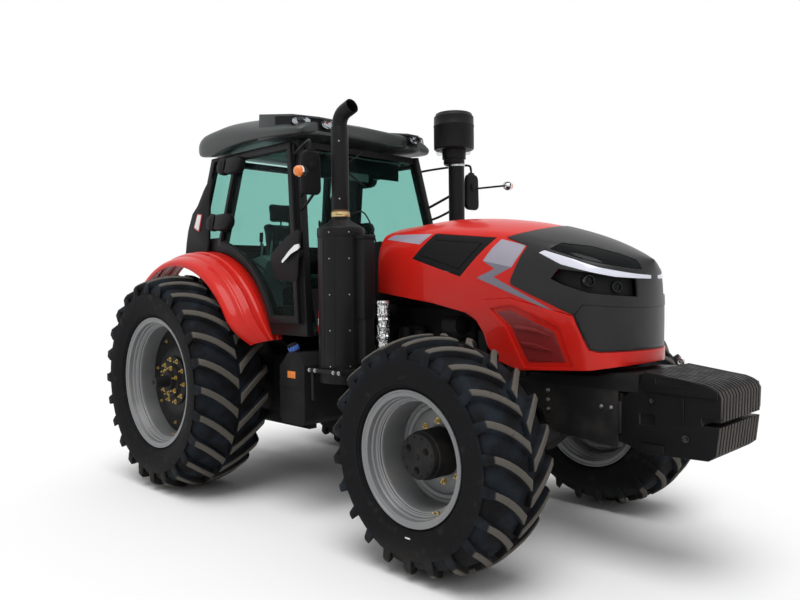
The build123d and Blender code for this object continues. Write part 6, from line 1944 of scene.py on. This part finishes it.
column = bar(WHEEL_AT - WHEEL_AXIS * 0.040, WHEEL_AT - WHEEL_AXIS * 0.235, 0.036, 24, 0.006)
stalk = bar(WHEEL_AT - WHEEL_AXIS * 0.075, WHEEL_AT - WHEEL_AXIS * 0.045 + Vector((0, -0.170, 0)), 0.007, 10)
done(join([wheel_rim, boss, *spokes, column, stalk]), "steering_wheel_rim", BLACK_PLASTIC, "root",
     ("steering_wheel",), angle=45)
knobs = []
for x, y in ((0.560, -0.430), (0.490, -0.470), (0.560, -0.520), (0.490, -0.570)):
    knobs.append(bar(at(x, y, 1.96), at(x + 0.02, y, 2.17), 0.007, 12))
    knobs.append(bar(at(x + 0.016, y, 2.13), at(x + 0.024, y, 2.215), 0.017, 16, 0.007))
done(join(knobs), "hydraulic_levers", BLACK_PLASTIC, angle=45)
visor = box(at(1.085, -0.560, 2.700), at(1.097, 0.560, 2.868), 0.005)
overhead = box(at(0.62, -0.60, 2.845), at(1.10, 0.60, 2.905), 0.020, 3)
mirror_in = box(at(1.105, -0.16, 2.655), at(1.125, 0.16, 2.725), 0.010, 3)
fan = [lathe([(0.0, 0.0), (0.0, 0.070), (0.020, 0.074), (0.045, 0.066), (0.050, 0.0)], at(0.92, y, 2.80),
             (0.6, 0, -0.8), 32) for y in (-0.46, 0.46)]
done(join([overhead, mirror_in, *fan]), "overhead_console", LINING, angle=45)
done(visor, "sun_visor", BLACK_PLASTIC)
print("inside the cab")

# %% Wipers and the arms outside the windscreen
wipers = []
for spread in (0.10, 0.14):
    start, end = at(1.262, -0.06 + spread * 0.2, 2.890), at(1.284, -0.30 - spread * 0.3, 2.700)
    wipers.append(pipe([start, at(1.270, -0.16, 2.80), end], 0.005, 8, 12))
blade = box(at(1.258, -0.008, -0.30), at(1.268, 0.008, 0.22), 0.003)
blade.data.transform(Matrix.Rotation(math.radians(62), 4, "X"))
blade.data.transform(Matrix.Translation((0, -0.26, 2.72)))
done(join([*wipers, blade]), "wiper", BLACK_PAINT)
for name, hand in SIDES:
    upper = pipe([at(1.192, hand * 0.712, 2.786), at(1.26, hand * 0.745, 2.800),
                  at(1.55, hand * 0.872, 2.822), at(1.655, hand * 0.915, 2.824),
                  at(1.668, hand * 0.922, 2.790), at(1.669, hand * 0.923, 2.735)], 0.010, 10, 16)
    bracket = box(at(1.180, hand * 0.716 - 0.012, 2.735), at(1.206, hand * 0.716 + 0.012, 2.875), 0.005, 2)
    done(join([upper, bracket]), f"mirror_upper_arm_{name}", BLACK_PAINT, angle=45)
    brace = pipe([at(1.290, hand * 0.735, 2.330), at(1.36, hand * 0.765, 2.345), at(1.50, hand * 0.80, 2.40),
                  at(1.640, hand * 0.84, 2.47)], 0.011, 8, 16)
    done(brace, f"mirror_brace_{name}", BLACK_PAINT)
print("wiper and braces")

# %% Finishes for the solids that stay
KEPT = {
    CHASSIS: ["rear_axle", "lift_rods", "top_link"],
    STEEL: ["steering_rod", "steering_cylinder"],
    CAB_GLASS: ["windscreen", "rear_window", "quarter_windows", "door_glass_right", "door_glass_left"],
}
for finish, names in KEPT.items():
    for name in names:
        mesh = frame["nodes"][name].data
        mesh.materials.clear()
        mesh.materials.append(finish)
print("kept solids", sum(len(names) for names in KEPT.values()))
